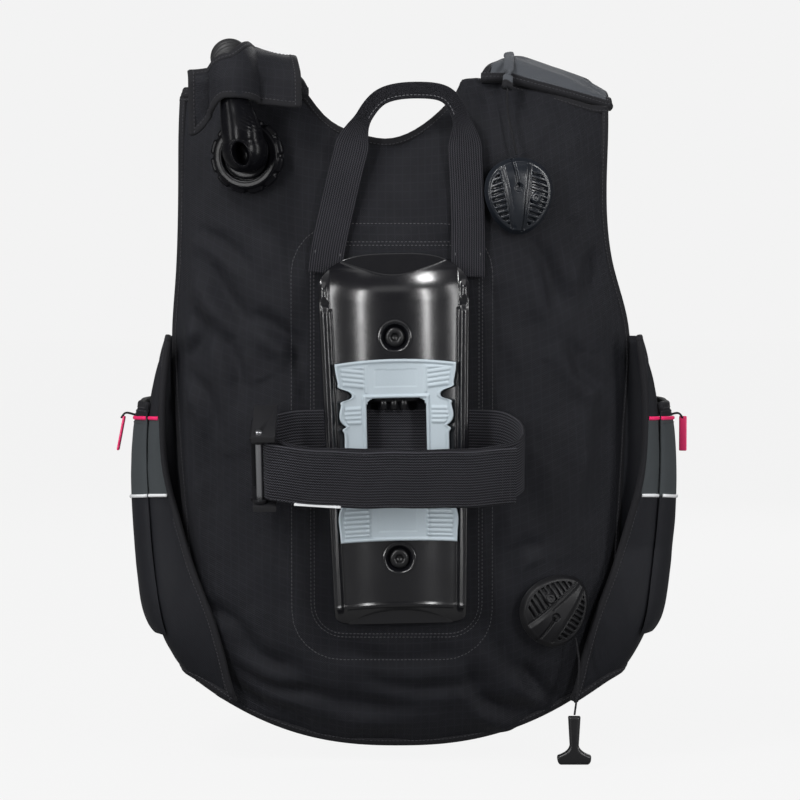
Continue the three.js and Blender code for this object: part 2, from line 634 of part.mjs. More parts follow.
// The buckle stands on the loop's left end, its plates along the band.
const buckle = new THREE.Group();
buckle.position.set(-116, -88, -13);
buckle.rotation.x = BUCKLE_TILT;
vest.add(buckle);
const BUCKLE = { halfHeight: 31, plateLength: 62, plateWidth: 20, plateThickness: 5, pinRadius: 3 };
const PIN = { x: -2, y: -22 };
const REAR_BAR_Y = 25;

const aboutPin = (radius, height, segments = 16) =>
  new THREE.CylinderGeometry(radius, radius, height, segments).rotateX(PI / 2).translate(PIN.x, PIN.y, 0);

function camBuckleFrame() {
  const { halfHeight, plateLength, plateWidth, plateThickness, pinRadius } = BUCKLE;
  const cheeks = [1, -1].map((side) =>
    block([plateWidth, plateLength, plateThickness], [2, 0, side * (halfHeight + plateThickness / 2)]),
  );
  const rearBar = block([5, 5, 2 * halfHeight + 2], [-3, REAR_BAR_Y, 0]);
  const innerBar = block([3, 8, 2 * halfHeight + 2], [9.5, 6, 0]);
  return cut(join(...cheeks, rearBar, innerBar), aboutPin(pinRadius + GAP, 2 * halfHeight + 20));
}
add('cam_buckle_frame', camBuckleFrame(), BLACK_MATT, buckle);
add('cam_buckle_pin', aboutPin(BUCKLE.pinRadius, 2 * BUCKLE.halfHeight + 13), STEEL, buckle);

// The lever's two arms hold the band between them, and its cross plate presses on the loop's end.
function camBuckleLever() {
  const reach = BUCKLE.halfHeight - 0.6;
  const armThickness = 3;
  const arms = [1, -1].flatMap((side) => {
    const z = side * (reach - armThickness / 2);
    return [
      new THREE.CylinderGeometry(6.5, 6.5, armThickness, 20).rotateX(PI / 2).translate(PIN.x, PIN.y, z),
      block([8, 36, armThickness], [-6, PIN.y + 18, z]),
    ];
  });
  const crossPlate = block([3.5, 14, 2 * reach], [-8.2, PIN.y + 29, 0]);
  return cut(join(...arms, crossPlate), aboutPin(BUCKLE.pinRadius + GAP, 2 * BUCKLE.halfHeight));
}
add('cam_buckle_lever', camBuckleLever(), BLACK_MATT, buckle);

// ---------------------------------------------------------------- inflator elbow and hose end
// In a fitting's own frame -Y points out of the vest and the seat plane is y = 0.
const elbow = fittings.elbow;
const outwardRing = (inner, outer, yFrom, yTo, segments = 24) =>
  turned([[inner, yFrom], [outer, yFrom], [outer, yTo], [inner, yTo], [inner, yFrom]], segments);

add('elbow_flange', turned([
  [18, 12], [22, 12], [22, -0.4], [31, -0.4], [31, -3], [22, -3], [22, -6], [18, -6], [18, 12],
], 24), BLACK_MATT, elbow);
add('elbow_gasket', outwardRing(18.5, 21.5, -6.4, -8.4), BLACK_RUBBER, elbow);

const RING_NOTCHES = 12;
function lockRing() {
  const ring = turned([
    [22.6, -3.4], [33, -3.4], [33, -10], [30, -13.5], [21.4, -13.5], [21.4, -12.2], [22.6, -12.2], [22.6, -3.4],
  ], 36);
  const notches = Array.from({ length: RING_NOTCHES }, (_, i) => {
    const angle = (i / RING_NOTCHES) * 2 * PI;
    return block([6, 20, 5], [33.5, -8, 0]).rotateY(angle);
  });
  return cut(ring, ...notches);
}
add('elbow_lock_ring', lockRing(), BLACK_MATT, elbow);

const ELBOW_NECK_TOP_Z = 300;
function inflatorElbow() {
  const stub = new THREE.CylinderGeometry(17.4, 17.4, 22, 20).translate(0, -17, 0);
  const rim = new THREE.CylinderGeometry(20.8, 20.8, 2.6, 20).translate(0, -10.2, 0);
  const bulb = new THREE.SphereGeometry(19, 18, 12).translate(1, -29, 3);
  const local = inGroup(join(stub, rim, bulb), elbow);
  const route = [[-135, -69, 255], [-138, -69.5, 272], [-140.5, -68, 288], [-141, -64.3, ELBOW_NECK_TOP_Z + 3]];
  const neck = rod(smoothPath(route), 12.5, 14, 5);
  return join(local, neck);
}
add('inflator_elbow', inflatorElbow(), BLACK_GLOSS);

// The inflator hangs from the hose's lower end on the chest.
const inflator = new THREE.Group();
inflator.position.set(-146, 220, 44);
inflator.rotation.x = degToRad(8);
vest.add(inflator);
const INFLATOR = { radius: 15, top: 66, bottom: -58, inflateRadius: 8, inflateZ: -20, deflateRadius: 9 };
const uprightCylinder = (radius, height, middleZ) =>
  new THREE.CylinderGeometry(radius, radius, height, 24).rotateX(PI / 2).translate(0, 0, middleZ);

function inflatorBody() {
  const { radius, top, bottom, inflateRadius, inflateZ, deflateRadius } = INFLATOR;
  const barrel = uprightCylinder(radius, top - bottom, (top + bottom) / 2);
  const valveBox = block([30, 22, 40], [0, 8, -28]);
  const inflatePocket = alongY(inflateRadius + 0.5, 10, 30, 0, inflateZ);
  const deflatePocket = uprightCylinder(deflateRadius + 0.5, 14, bottom);
  return cut(join(barrel, valveBox), inflatePocket, deflatePocket);
}
add('inflator_body', inflatorBody(), BLACK_MATT, inflator);
add('inflate_button', alongY(INFLATOR.inflateRadius, 14.5, 25, 0, INFLATOR.inflateZ), BLACK_GLOSS, inflator);
add('deflate_button', uprightCylinder(INFLATOR.deflateRadius, 9, INFLATOR.bottom - 1.5), BLACK_GLOSS, inflator);

// The mouthpiece sticks out sideways, and its end is a flat ring.
function mouthpiece() {
  const tube = new THREE.CylinderGeometry(10, 11, 20, 20).rotateZ(PI / 2).translate(26, 0, 20);
  const bite = new THREE.CylinderGeometry(12, 12, 8, 20).rotateZ(PI / 2).scale(1, 0.75, 1.7).translate(38, 0, 20);
  const mouth = new THREE.CylinderGeometry(6, 6, 40, 16).rotateZ(PI / 2).translate(42, 0, 20);
  return cut(join(tube, bite), mouth);
}
add('inflator_mouthpiece', mouthpiece(), BLACK_RUBBER, inflator);

const KEEPER_SHARE = 0.8; // of the hose's length
function hoseKeeper() {
  const [inner, outer] = [HOSE_RADIUS + 1.2, HOSE_RADIUS + 3];
  const ring = turned([[inner, -13], [outer, -13], [outer, 13], [inner, 13], [inner, -13]], 20);
  const toHose = new THREE.Quaternion().setFromUnitVectors(v3(0, 1, 0), hosePath.getTangent(KEEPER_SHARE));
  return ring.applyQuaternion(toHose).translate(...hosePath.getPoint(KEEPER_SHARE).toArray());
}
add('hose_keeper', hoseKeeper(), BLACK_WEBBING);

// ---------------------------------------------------------------- dump valves
// An egg-shaped grille over a cup that is sunk in the air cell, with a sprung poppet inside.
const EGG_POINTS = 28;
const VALVE = { wide: 30, tall: 33, bore: 19 };
function eggOutline(grow) {
  const shape = new THREE.Shape();
  const points = Array.from({ length: EGG_POINTS }, (_, i) => {
    const angle = (i / EGG_POINTS) * 2 * PI;
    const narrow = 1 + 0.16 * sin(angle);
    return new THREE.Vector2((VALVE.wide + grow) * cos(angle) * narrow, (VALVE.tall + grow) * sin(angle));
  });
  return shape.setFromPoints(points);
}

const SLOTS_PER_SIDE = 9;
function valveCover(turn) {
  const dome = plate(eggOutline(0), -3.6, -16, 4);
  const cavity = alongY(VALVE.bore + 1, 0, -12.5, 0, 0, 28);
  const slots = [];
  for (let i = 0; i < SLOTS_PER_SIDE; i++) {
    for (const side of [1, -1]) {
      const slot = block([13, 20, 1.6], [0, -16, 0]).rotateY(side * degToRad(22));
      slots.push(slot.translate(side * 10.5, 0, lerp(-16, 18, i / (SLOTS_PER_SIDE - 1))));
    }
  }
  const cordHole = alongY(1.6, -8, -30, 0, 0, 10);
  return cut(dome, cavity, ...slots, cordHole).rotateY(turn);
}

function valveParts(prefix, turn, coverLook) {
  const group = fittings[prefix];
  add(`${prefix}_cover`, valveCover(turn), coverLook, group);
  add(`${prefix}_base`, turned([
    [9, 13], [22.5, 13], [22.5, -0.4], [28, -0.4], [28, -3.2], [VALVE.bore, -3.2], [VALVE.bore, 10], [9, 10], [9, 13],
  ], 24), BLACK_MATT, group);
  add(`${prefix}_poppet`, join(alongY(14, 9.6, 6.6, 0, 0, 24), alongY(2.5, 7, -4.5, 0, 0, 12)), BLACK_RUBBER, group);
}
valveParts('upper_dump', 0, BLACK_GLOSS);
valveParts('lower_dump', degToRad(-135), BLACK_MATT);

// The spring of each valve winds round the poppet's stem and presses it on its seat.
const SPRING = { radius: 6, wire: 0.7, turns: 4, stepsPerTurn: 8, from: 5.6, to: -11.6 };
function valveSpring() {
  const points = Array.from({ length: SPRING.turns * SPRING.stepsPerTurn + 1 }, (_, i) => {
    const t = i / (SPRING.turns * SPRING.stepsPerTurn);
    const angle = t * SPRING.turns * 2 * PI;
    return v3(SPRING.radius * cos(angle), lerp(SPRING.from, SPRING.to, t), SPRING.radius * sin(angle));
  });
  return rod(new THREE.CatmullRomCurve3(points), SPRING.wire, 6, SPRING.turns * SPRING.stepsPerTurn);
}
for (const prefix of ['upper_dump', 'lower_dump']) add(`${prefix}_spring`, valveSpring(), STEEL, fittings[prefix]);

// Pull cords: one over the right shoulder to a knob on the chest, one down to a toggle under the hem.
const CORD_RADIUS = 0.9;
const upperCord = smoothPath([
  [104.5, -50, 250], [101, -49, 266], [95, -41, 288], [91, -33, 310], [91, -8, 336], [93, 34, 350], [96, 74, 353],
  [97, 110, 349], [97, 146, 316], [96, 166, 272], [92, 184, 236], [89, 190.5, 205], [88, 190, 172],
]);
add('upper_dump_cord', rod(upperCord, CORD_RADIUS, 8, 26), BLACK_WEBBING);
add('upper_dump_knob', turned([[0, 4], [5, 4], [8, -2], [8, -16], [5, -22], [0, -22]], 16)
  .rotateX(PI / 2).translate(88, 190, 167.4), BLACK_RUBBER);

const lowerCord = smoothPath([[158, -38, -176], [161, -40, -196], [160, -42, -220], [157, -43, -244]]);
add('lower_dump_cord', rod(lowerCord, CORD_RADIUS, 8, 8), BLACK_WEBBING);
function pullToggle() {
  const outline = new THREE.Shape();
  outline.moveTo(-5.5, 0);
  outline.lineTo(5.5, 0);
  outline.lineTo(4, -26);
  outline.quadraticCurveTo(5, -32, 15, -35);
  outline.quadraticCurveTo(15.5, -42, 12, -43);
  outline.lineTo(-12, -43);
  outline.quadraticCurveTo(-15.5, -42, -15, -35);
  outline.quadraticCurveTo(-5, -32, -4, -26);
  outline.closePath();
  return plate(outline, -4.5, 4.5, 1.5, 5).translate(156.8, -43, -245);
}
add('lower_dump_toggle', pullToggle(), BLACK_RUBBER);

// ---------------------------------------------------------------- zip pulls
// Each hangs from the pocket zip at its top end and leans out over the pocket.
const ZIP_PULL = { length: 32, width: 7, thickness: 2.4, top: 15, y: 62 };
const ZIP_PULL_LEAN = { left: degToRad(11), right: 0 };
const ZIP_PULL_TURN = { left: 0, right: degToRad(80) };
const ZIP_PULL_X = 250;
for (const [name, side] of Object.entries(SIDES)) {
  const tab = block([ZIP_PULL.thickness, ZIP_PULL.width, ZIP_PULL.length], [0, 0, -ZIP_PULL.length / 2]);
  tab.rotateZ(ZIP_PULL_TURN[name]).rotateY(-side * ZIP_PULL_LEAN[name]);
  tab.translate(side * (ZIP_PULL_X + SIDE_SHIFT[name]), ZIP_PULL.y, ZIP_PULL.top);
  add(`${name}_zip_pull`, tab, PINK_PULL);
}

// ---------------------------------------------------------------- straps and buckles on the front
// A side-release buckle about X: the socket on the +X side, the plug on the -X side.
function buckleSocket(width, length, thickness) {
  const shell = block([length, thickness, width], [length / 2, 0, 0]);
  const mouth = block([length * 1.5, thickness - 5, width - 8], [0, 0, 0]);
  const webSlot = block([6, thickness * 2, width - 8], [length - 6, 0, 0]);
  return cut(shell, mouth, webSlot);
}

function bucklePlug(width, length, thickness) {
  const bar = block([length * 0.42, thickness, width], [-length * 0.21 - 0.5, 0, 0]);
  const webSlot = block([6, thickness * 2, width - 8], [-length * 0.28, 0, 0]);
  const prongZ = width * 0.4 - 4;
  const prongs = [prongZ, -prongZ].map((z) =>
    block([length * 0.6 + 1, thickness - 6, width * 0.16], [length * 0.3 - 1, 0, z]),
  );
  return join(cut(bar, webSlot), ...prongs);
}

// Each strap half ends just short of its buckle half and lies on the front of the vest.
const FRONT_STRAPS = {
  chest: {
    webbing: WEBBING_25, buckle: { width: WEBBING_25 + 8, length: 34, thickness: 10 },
    y: 186, z: 198, ends: { left: -17, right: 36 }, outerX: 100, restY: 176,
  },
  waist: {
    webbing: WEBBING_50, buckle: { width: WEBBING_50 + 10, length: 50, thickness: 12 },
    y: 212, z: -58, ends: { left: -24, right: 52 }, outerX: 150, restY: 206,
  },
};
for (const [name, { webbing, buckle: size, y, z, ends, outerX, restY }] of Object.entries(FRONT_STRAPS)) {
  const buckleSize = [size.width, size.length, size.thickness];
  add(`${name}_buckle_socket`, buckleSocket(...buckleSize).translate(0, y, z), BLACK_MATT);
  add(`${name}_buckle_plug`, bucklePlug(...buckleSize).translate(0, y, z), BLACK_MATT);
  for (const [sideName, side] of Object.entries(SIDES)) {
    const start = ends[sideName];
    const path = smoothPoints([
      [start, y], [start + side * 12, y], [side * 78, lerp(y, restY, 0.6)], [side * outerX, restY],
    ], 12);
    add(`${sideName}_${name}_strap`, levelStrap(path, webbing, z), BLACK_WEBBING);
  }
}

// Shoulder straps run from the yoke's lower end through a ladder buckle to the lobe.
const SHOULDER_STRAP_X = { left: -98, right: 122 };
const SHOULDER_BUCKLE = { y: 189.4, z: 116, lean: degToRad(12) };
for (const [name, middleX] of Object.entries(SHOULDER_STRAP_X)) {
  const path = smoothPoints([[180, 178], [182, 146], [189, 116], [197, 80], [204, 44], [204.5, 4]], 14);
  add(`${name}_shoulder_strap`, uprightStrap(path, WEBBING_38, middleX), BLACK_WEBBING);
  const passage = block([WEBBING_38 + 2, WEBBING_THICKNESS + 3, 80], [0, 0, 0]);
  const ladder = cut(block([WEBBING_38 + 12, 12, 30], [0, 0, 0]), passage).rotateX(SHOULDER_BUCKLE.lean);
  add(`${name}_shoulder_buckle`, ladder.translate(middleX, SHOULDER_BUCKLE.y, SHOULDER_BUCKLE.z), BLACK_MATT);
}

// D-rings hang in the tabs on the yokes.
function dRing() {
  const { halfWidth, height, bar } = D_RING;
  const outline = (inset) => {
    const shape = new THREE.Shape();
    shape.moveTo(-halfWidth + inset, -inset);
    shape.lineTo(halfWidth - inset, -inset);
    shape.absarc(0, -height + halfWidth, halfWidth - inset, 0, -PI, true);
    shape.closePath();
    return shape;
  };
  return cut(plate(outline(0), -bar / 2, bar / 2, 1, 8), plate(outline(bar), -bar, bar));
}
for (const name of Object.keys(SIDES)) {
  const { x, y, z } = D_RING_PLACE[name];
  add(`${name}_d_ring`, dRing().translate(x, y, z + D_RING.bar / 2), STEEL);
}

export default vest;
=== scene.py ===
"""Looks of a buoyancy compensator vest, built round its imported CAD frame.

Lengths in this script are millimetres in the frame's axes, +Z up and +Y towards the wearer's
front, and MM turns them to metres where a mesh is made.
"""
import json
from math import cos, pi, radians, sin

import bmesh
import bpy
import numpy as np
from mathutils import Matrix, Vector, noise
from mathutils.bvhtree import BVHTree


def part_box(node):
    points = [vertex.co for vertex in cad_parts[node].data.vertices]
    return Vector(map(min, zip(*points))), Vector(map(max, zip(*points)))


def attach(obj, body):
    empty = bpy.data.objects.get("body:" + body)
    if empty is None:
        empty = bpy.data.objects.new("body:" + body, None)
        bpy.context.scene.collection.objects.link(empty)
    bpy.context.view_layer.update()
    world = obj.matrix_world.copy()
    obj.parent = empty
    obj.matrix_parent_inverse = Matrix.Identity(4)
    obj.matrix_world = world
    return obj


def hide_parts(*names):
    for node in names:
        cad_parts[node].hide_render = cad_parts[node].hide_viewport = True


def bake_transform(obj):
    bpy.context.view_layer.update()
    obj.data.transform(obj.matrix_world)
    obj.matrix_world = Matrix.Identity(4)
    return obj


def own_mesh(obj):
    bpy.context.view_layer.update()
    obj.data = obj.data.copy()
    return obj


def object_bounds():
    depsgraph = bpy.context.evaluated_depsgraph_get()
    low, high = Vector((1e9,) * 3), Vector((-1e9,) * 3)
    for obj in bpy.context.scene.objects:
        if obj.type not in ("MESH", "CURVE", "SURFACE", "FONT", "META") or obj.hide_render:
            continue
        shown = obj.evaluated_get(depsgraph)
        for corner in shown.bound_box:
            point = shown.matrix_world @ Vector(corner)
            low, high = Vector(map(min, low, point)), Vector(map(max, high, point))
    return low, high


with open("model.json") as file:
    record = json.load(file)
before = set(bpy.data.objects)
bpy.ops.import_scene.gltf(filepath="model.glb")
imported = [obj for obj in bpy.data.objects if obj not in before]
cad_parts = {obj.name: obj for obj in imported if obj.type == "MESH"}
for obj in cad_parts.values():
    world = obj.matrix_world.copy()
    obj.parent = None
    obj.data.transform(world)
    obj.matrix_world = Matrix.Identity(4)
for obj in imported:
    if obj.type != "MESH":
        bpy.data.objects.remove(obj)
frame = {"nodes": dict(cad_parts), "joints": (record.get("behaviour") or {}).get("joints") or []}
cad_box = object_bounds()
MM = 0.001
LEFT, RIGHT = -1, 1
SIDES = {"left": LEFT, "right": RIGHT}

# ---------------------------------------------------------------- camera
VIEW_TARGET = Vector((2.6, -45, 35.2)) * MM
VIEW_DISTANCE = 2.5
VIEW_ELEVATION = radians(3)


def make_camera():
    data = bpy.data.cameras.new("camera")
    data.lens = 128
    data.sensor_width = 36
    camera = bpy.data.objects.new("camera", data)
    back = Vector((0, -cos(VIEW_ELEVATION), sin(VIEW_ELEVATION)))
    camera.location = VIEW_TARGET + VIEW_DISTANCE * back
    camera.rotation_euler = (-back).to_track_quat("-Z", "Y").to_euler()
    bpy.context.collection.objects.link(camera)
    bpy.context.scene.camera = camera


make_camera()


# ---------------------------------------------------------------- numbers
def lerp(a, b, t):
    return a + (b - a) * t


def smoothstep(value, low, high):
    t = np.clip((value - low) / (high - low), 0, 1)
    return t * t * (3 - 2 * t)


def unit(vectors):
    return vectors / np.maximum(np.linalg.norm(vectors, axis=-1, keepdims=True), 1e-9)


def graded(pairs):
    """A smooth function through (place, value) pairs."""
    xs, ys = np.array(pairs, float).T
    slopes = np.gradient(ys, xs)

    def value(x):
        x = np.clip(x, xs[0], xs[-1])
        i = np.clip(np.searchsorted(xs, x) - 1, 0, len(xs) - 2)
        h = xs[i + 1] - xs[i]
        t = (x - xs[i]) / h
        return (
            ys[i] * (1 + 2 * t) * (1 - t) ** 2
            + ys[i + 1] * t * t * (3 - 2 * t)
            + h * (slopes[i] * t * (1 - t) ** 2 - slopes[i + 1] * t * t * (1 - t))
        )

    return value


class Path:
    """A smooth curve through points, centripetal Catmull-Rom, from t = 0 to t = 1."""

    def __init__(self, points, closed=False):
        p = np.array(points, float)
        self.closed = closed
        if closed:
            self.knots = np.vstack([p[-1], p, p[0], p[1]])
        else:
            self.knots = np.vstack([2 * p[0] - p[1], p, 2 * p[-1] - p[-2]])
        self.spans = len(self.knots) - 3

    def at(self, t):
        where = np.clip(np.asarray(t, float), 0, 1) * self.spans
        i = np.minimum(where.astype(int), self.spans - 1)
        s = (where - i)[..., None]
        p0, p1, p2, p3 = (self.knots[i + k] for k in range(4))
        d1, d2, d3 = (
            np.maximum(np.linalg.norm(b - a, axis=-1, keepdims=True) ** 0.5, 1e-3)
            for a, b in ((p0, p1), (p1, p2), (p2, p3))
        )
        m1 = (p2 - p1) + d2 * ((p1 - p0) / d1 - (p2 - p0) / (d1 + d2))
        m2 = (p2 - p1) + d2 * ((p3 - p2) / d3 - (p3 - p1) / (d2 + d3))
        return (
            p1 * (1 + 2 * s) * (1 - s) ** 2
            + p2 * s * s * (3 - 2 * s)
            + m1 * s * (1 - s) ** 2
            - m2 * s * s * (1 - s)
        )

    def tangent(self, t):
        step = 1e-3
        return unit(self.at(np.minimum(t + step, 1)) - self.at(np.maximum(t - step, 0)))

    def even(self, spacing):
        """Points along the curve at even spacing, and their tangents."""
        fine = self.at(np.linspace(0, 1, 60 * self.spans))
        run = np.concatenate([[0], np.cumsum(np.linalg.norm(np.diff(fine, axis=0), axis=1))])
        count = max(2, int(round(run[-1] / spacing)) + 1)
        marks = np.linspace(0, run[-1], count)
        points = np.stack([np.interp(marks, run, fine[:, k]) for k in range(3)], axis=1)
        return points, unit(np.gradient(points, axis=0))


def ripple(points, size, seed, octaves=3):
    """Soft noise from -1 to 1 at each point. Size is a wrinkle's length along each axis."""
    scale = 1 / np.asarray(size, float)
    offset = Vector((seed * 17.3, seed * 5.1, seed * 9.7))
    rows = (points * scale).tolist()
    return np.array([noise.fractal(Vector(p) + offset, 1.0, 2.0, octaves) for p in rows])


# ---------------------------------------------------------------- materials
MATERIALS = {}


def new_material(name):
    material = bpy.data.materials.new(name)
    material.use_nodes = True
    tree = material.node_tree
    shader = tree.nodes["Principled BSDF"]
    MATERIALS[name] = material
    return material, tree, shader


def math_node(tree, operation, a, b=None, c=None):
    node = tree.nodes.new("ShaderNodeMath")
    node.operation = operation
    for socket, value in zip(node.inputs, (a, b, c)):
        if value is None:
            continue
        if isinstance(value, (int, float)):
            socket.default_value = value
        else:
            tree.links.new(value, socket)
    return node.outputs[0]


def coordinates(tree, kind):
    node = tree.nodes.new("ShaderNodeTexCoord")
    return node.outputs["UV" if kind == "uv" else "Object"]


def noise_node(tree, vector, scale, detail=3.0, roughness=0.5):
    node = tree.nodes.new("ShaderNodeTexNoise")
    node.inputs["Scale"].default_value = scale
    node.inputs["Detail"].default_value = detail
    node.inputs["Roughness"].default_value = roughness
    tree.links.new(vector, node.inputs["Vector"])
    return node.outputs["Fac"]


def ramp_colour(tree, factor, dark, light):
    node = tree.nodes.new("ShaderNodeMix")
    node.data_type = "RGBA"
    tree.links.new(factor, node.inputs["Factor"])
    for socket, value in (("A", dark), ("B", light)):
        slot = next(s for s in node.inputs if s.name == socket and s.type == "RGBA")
        if isinstance(value, tuple):
            slot.default_value = (*value, 1)
        else:
            tree.links.new(value, slot)
    return next(s for s in node.outputs if s.type == "RGBA")


def bump(tree, shader, height, distance, strength=1.0):
    node = tree.nodes.new("ShaderNodeBump")
    node.inputs["Distance"].default_value = distance
    node.inputs["Strength"].default_value = strength
    tree.links.new(height, node.inputs["Height"])
    tree.links.new(node.outputs["Normal"], shader.inputs["Normal"])


def edge_wear(tree, low, high):
    """Bigger on convex edges, where a surface rubs."""
    geometry = tree.nodes.new("ShaderNodeNewGeometry")
    node = tree.nodes.new("ShaderNodeMapRange")
    tree.links.new(geometry.outputs["Pointiness"], node.inputs["Value"])
    node.inputs["From Min"].default_value = low
    node.inputs["From Max"].default_value = high
    return node.outputs["Result"]


def waves(tree, value, pitch):
    """A sine of the given pitch in metres, from 0 to 1."""
    turned = math_node(tree, "MULTIPLY", value, 2 * pi / pitch)
    return math_node(tree, "MULTIPLY_ADD", math_node(tree, "SINE", turned), 0.5, 0.5)


def woven(name, dark, light, pitch, depth, roughness=0.8, sheen=0.03, ripstop=0.0, mottling=0.35, shine=0.16):
    """Cloth with a plain weave laid along its UVs, which are in metres."""
    material, tree, shader = new_material(name)
    uv = coordinates(tree, "uv")
    split = tree.nodes.new("ShaderNodeSeparateXYZ")
    tree.links.new(uv, split.inputs[0])
    warp = waves(tree, split.outputs[0], 2 * pitch)
    weft = waves(tree, split.outputs[1], 2 * pitch)
    odd = math_node(tree, "ABSOLUTE", math_node(tree, "SUBTRACT", warp, weft))
    thread_noise = noise_node(tree, uv, 0.9 / pitch, 2.0, 0.6)
    weave = math_node(tree, "MULTIPLY_ADD", thread_noise, 0.6, odd)
    if ripstop:
        lines = [
            math_node(tree, "GREATER_THAN", waves(tree, split.outputs[k], ripstop), 0.965)
            for k in (0, 1)
        ]
        grid = math_node(tree, "MAXIMUM", *lines)
        weave = math_node(tree, "MULTIPLY_ADD", grid, 0.75, weave)
    cloud = noise_node(tree, coordinates(tree, "object"), 26, 4.0, 0.6)
    tone = math_node(tree, "MULTIPLY_ADD", cloud, mottling, math_node(tree, "MULTIPLY", weave, 0.42))
    rubbed = math_node(tree, "MULTIPLY_ADD", edge_wear(tree, 0.52, 0.62), 0.25, tone)
    colour = ramp_colour(tree, rubbed, dark, light)
    tree.links.new(colour, shader.inputs["Base Color"])
    rough = math_node(tree, "MULTIPLY_ADD", cloud, 0.12, roughness - 0.06)
    tree.links.new(rough, shader.inputs["Roughness"])
    shader.inputs["Sheen Weight"].default_value = sheen
    shader.inputs["Sheen Roughness"].default_value = 0.45
    shader.inputs["Specular IOR Level"].default_value = shine
    bump(tree, shader, weave, depth, 0.9)
    return material


def moulded(name, dark, light, roughness, grain=0.00004, grain_scale=900.0, shine=0.5):
    """Moulded plastic or rubber: faint mottling, fine surface grain and rubbed edges."""
    material, tree, shader = new_material(name)
    place = coordinates(tree, "object")
    cloud = noise_node(tree, place, 18, 4.0, 0.6)
    cloudy = math_node(tree, "MULTIPLY", cloud, 0.3)
    rubbed = math_node(tree, "MULTIPLY_ADD", edge_wear(tree, 0.53, 0.68), 0.7, cloudy)
    tree.links.new(ramp_colour(tree, rubbed, dark, light), shader.inputs["Base Color"])
    smear = noise_node(tree, place, 55, 5.0, 0.65)
    rough = math_node(tree, "MULTIPLY_ADD", smear, roughness * 0.5, roughness * 0.75)
    tree.links.new(rough, shader.inputs["Roughness"])
    shader.inputs["Specular IOR Level"].default_value = shine
    bump(tree, shader, noise_node(tree, place, grain_scale, 2.0), grain, 0.8)
    return material


def brushed(name, colour, roughness):
    material, tree, shader = new_material(name)
    place = coordinates(tree, "object")
    stretch = tree.nodes.new("ShaderNodeMapping")
    stretch.inputs["Scale"].default_value = (1, 1, 0.05)
    tree.links.new(place, stretch.inputs["Vector"])
    lines = noise_node(tree, stretch.outputs[0], 2500, 3.0)
    darker = tuple(0.75 * c for c in colour)
    tree.links.new(ramp_colour(tree, lines, darker, colour), shader.inputs["Base Color"])
    rough = math_node(tree, "MULTIPLY_ADD", lines, 0.18, roughness - 0.05)
    tree.links.new(rough, shader.inputs["Roughness"])
    shader.inputs["Metallic"].default_value = 1.0
    bump(tree, shader, lines, 0.00002)
    return material


def braided(name, dark, light, across, along, depth):
    """Webbing: ribs along the strap, crossed by slanting threads that change way at each rib."""
    material, tree, shader = new_material(name)
    split = tree.nodes.new("ShaderNodeSeparateXYZ")
    uv = coordinates(tree, "uv")
    tree.links.new(uv, split.inputs[0])
    u, v = split.outputs[0], split.outputs[1]
    zigzag = math_node(tree, "PINGPONG", u, across)
    slanted = math_node(tree, "MULTIPLY_ADD", zigzag, 1.2, v)
    threads = waves(tree, slanted, along)
    ribs = waves(tree, u, across)
    fuzz = noise_node(tree, uv, 2400, 3.0, 0.7)
    height = math_node(tree, "MULTIPLY_ADD", threads, 0.7, math_node(tree, "MULTIPLY", ribs, 0.6))
    height = math_node(tree, "MULTIPLY_ADD", fuzz, 0.5, height)
    cloud = noise_node(tree, coordinates(tree, "object"), 30, 3.0)
    contrast = math_node(tree, "MULTIPLY_ADD", height, 2.0, -1.55)
    tone = math_node(tree, "MULTIPLY_ADD", cloud, 0.3, contrast)
    tree.links.new(ramp_colour(tree, tone, dark, light), shader.inputs["Base Color"])
    shader.inputs["Roughness"].default_value = 0.68
    shader.inputs["Sheen Weight"].default_value = 0.01
    shader.inputs["Sheen Roughness"].default_value = 0.4
    shader.inputs["Specular IOR Level"].default_value = 0.06
    bump(tree, shader, height, depth)
    return material


def pale(name, colour, glow):
    material, tree, shader = new_material(name)
    mottled = noise_node(tree, coordinates(tree, "object"), 3)
    slightly = tuple(0.985 * c for c in colour)
    tree.links.new(ramp_colour(tree, mottled, slightly, colour), shader.inputs["Base Color"])
    shader.inputs["Roughness"].default_value = 0.9
    shader.inputs["Specular IOR Level"].default_value = 0.0
    shader.inputs["Emission Color"].default_value = (1, 1, 1, 1)
    path = tree.nodes.new("ShaderNodeLightPath")
    shown = tree.nodes.new("ShaderNodeMapRange")
    shown.inputs["To Min"].default_value = 0.2 * glow
    shown.inputs["To Max"].default_value = glow
    tree.links.new(path.outputs["Is Camera Ray"], shown.inputs["Value"])
    tree.links.new(shown.outputs["Result"], shader.inputs["Emission Strength"])
    return material


FABRIC = woven(
    "air_cell_fabric", (0.0022, 0.0024, 0.0036), (0.0145, 0.0152, 0.0205), 0.0009, 0.00028, 0.6,
    ripstop=0.0075,
    shine=0.19,
)
SMOOTH_FABRIC = woven(
    "pocket_black", (0.0036, 0.0040, 0.0052), (0.0150, 0.0157, 0.0205), 0.0007, 0.00012, 0.62, shine=0.17
)
GREY_FABRIC = woven("shoulder_grey", (0.048, 0.053, 0.062), (0.108, 0.115, 0.127), 0.0008, 0.00014,
                    mottling=0.3)
POCKET_GREY = woven("pocket_grey", (0.033, 0.038, 0.041), (0.066, 0.074, 0.079), 0.0008, 0.0001,
                    mottling=0.25)
PAD_MESH = woven("pad_mesh", (0.006, 0.006, 0.007), (0.024, 0.024, 0.026), 0.0017, 0.0005, 0.9, 0.06)
BINDING = woven("binding_tape", (0.007, 0.007, 0.0085), (0.020, 0.020, 0.023), 0.0006, 0.00012, 0.75)
THREAD = woven("stitch_thread", (0.022, 0.022, 0.026), (0.055, 0.055, 0.062), 0.0003, 0.00005, 0.6)
PALE_THREAD = woven("seam_thread", (0.06, 0.06, 0.065), (0.14, 0.14, 0.15), 0.0003, 0.00005, 0.6)
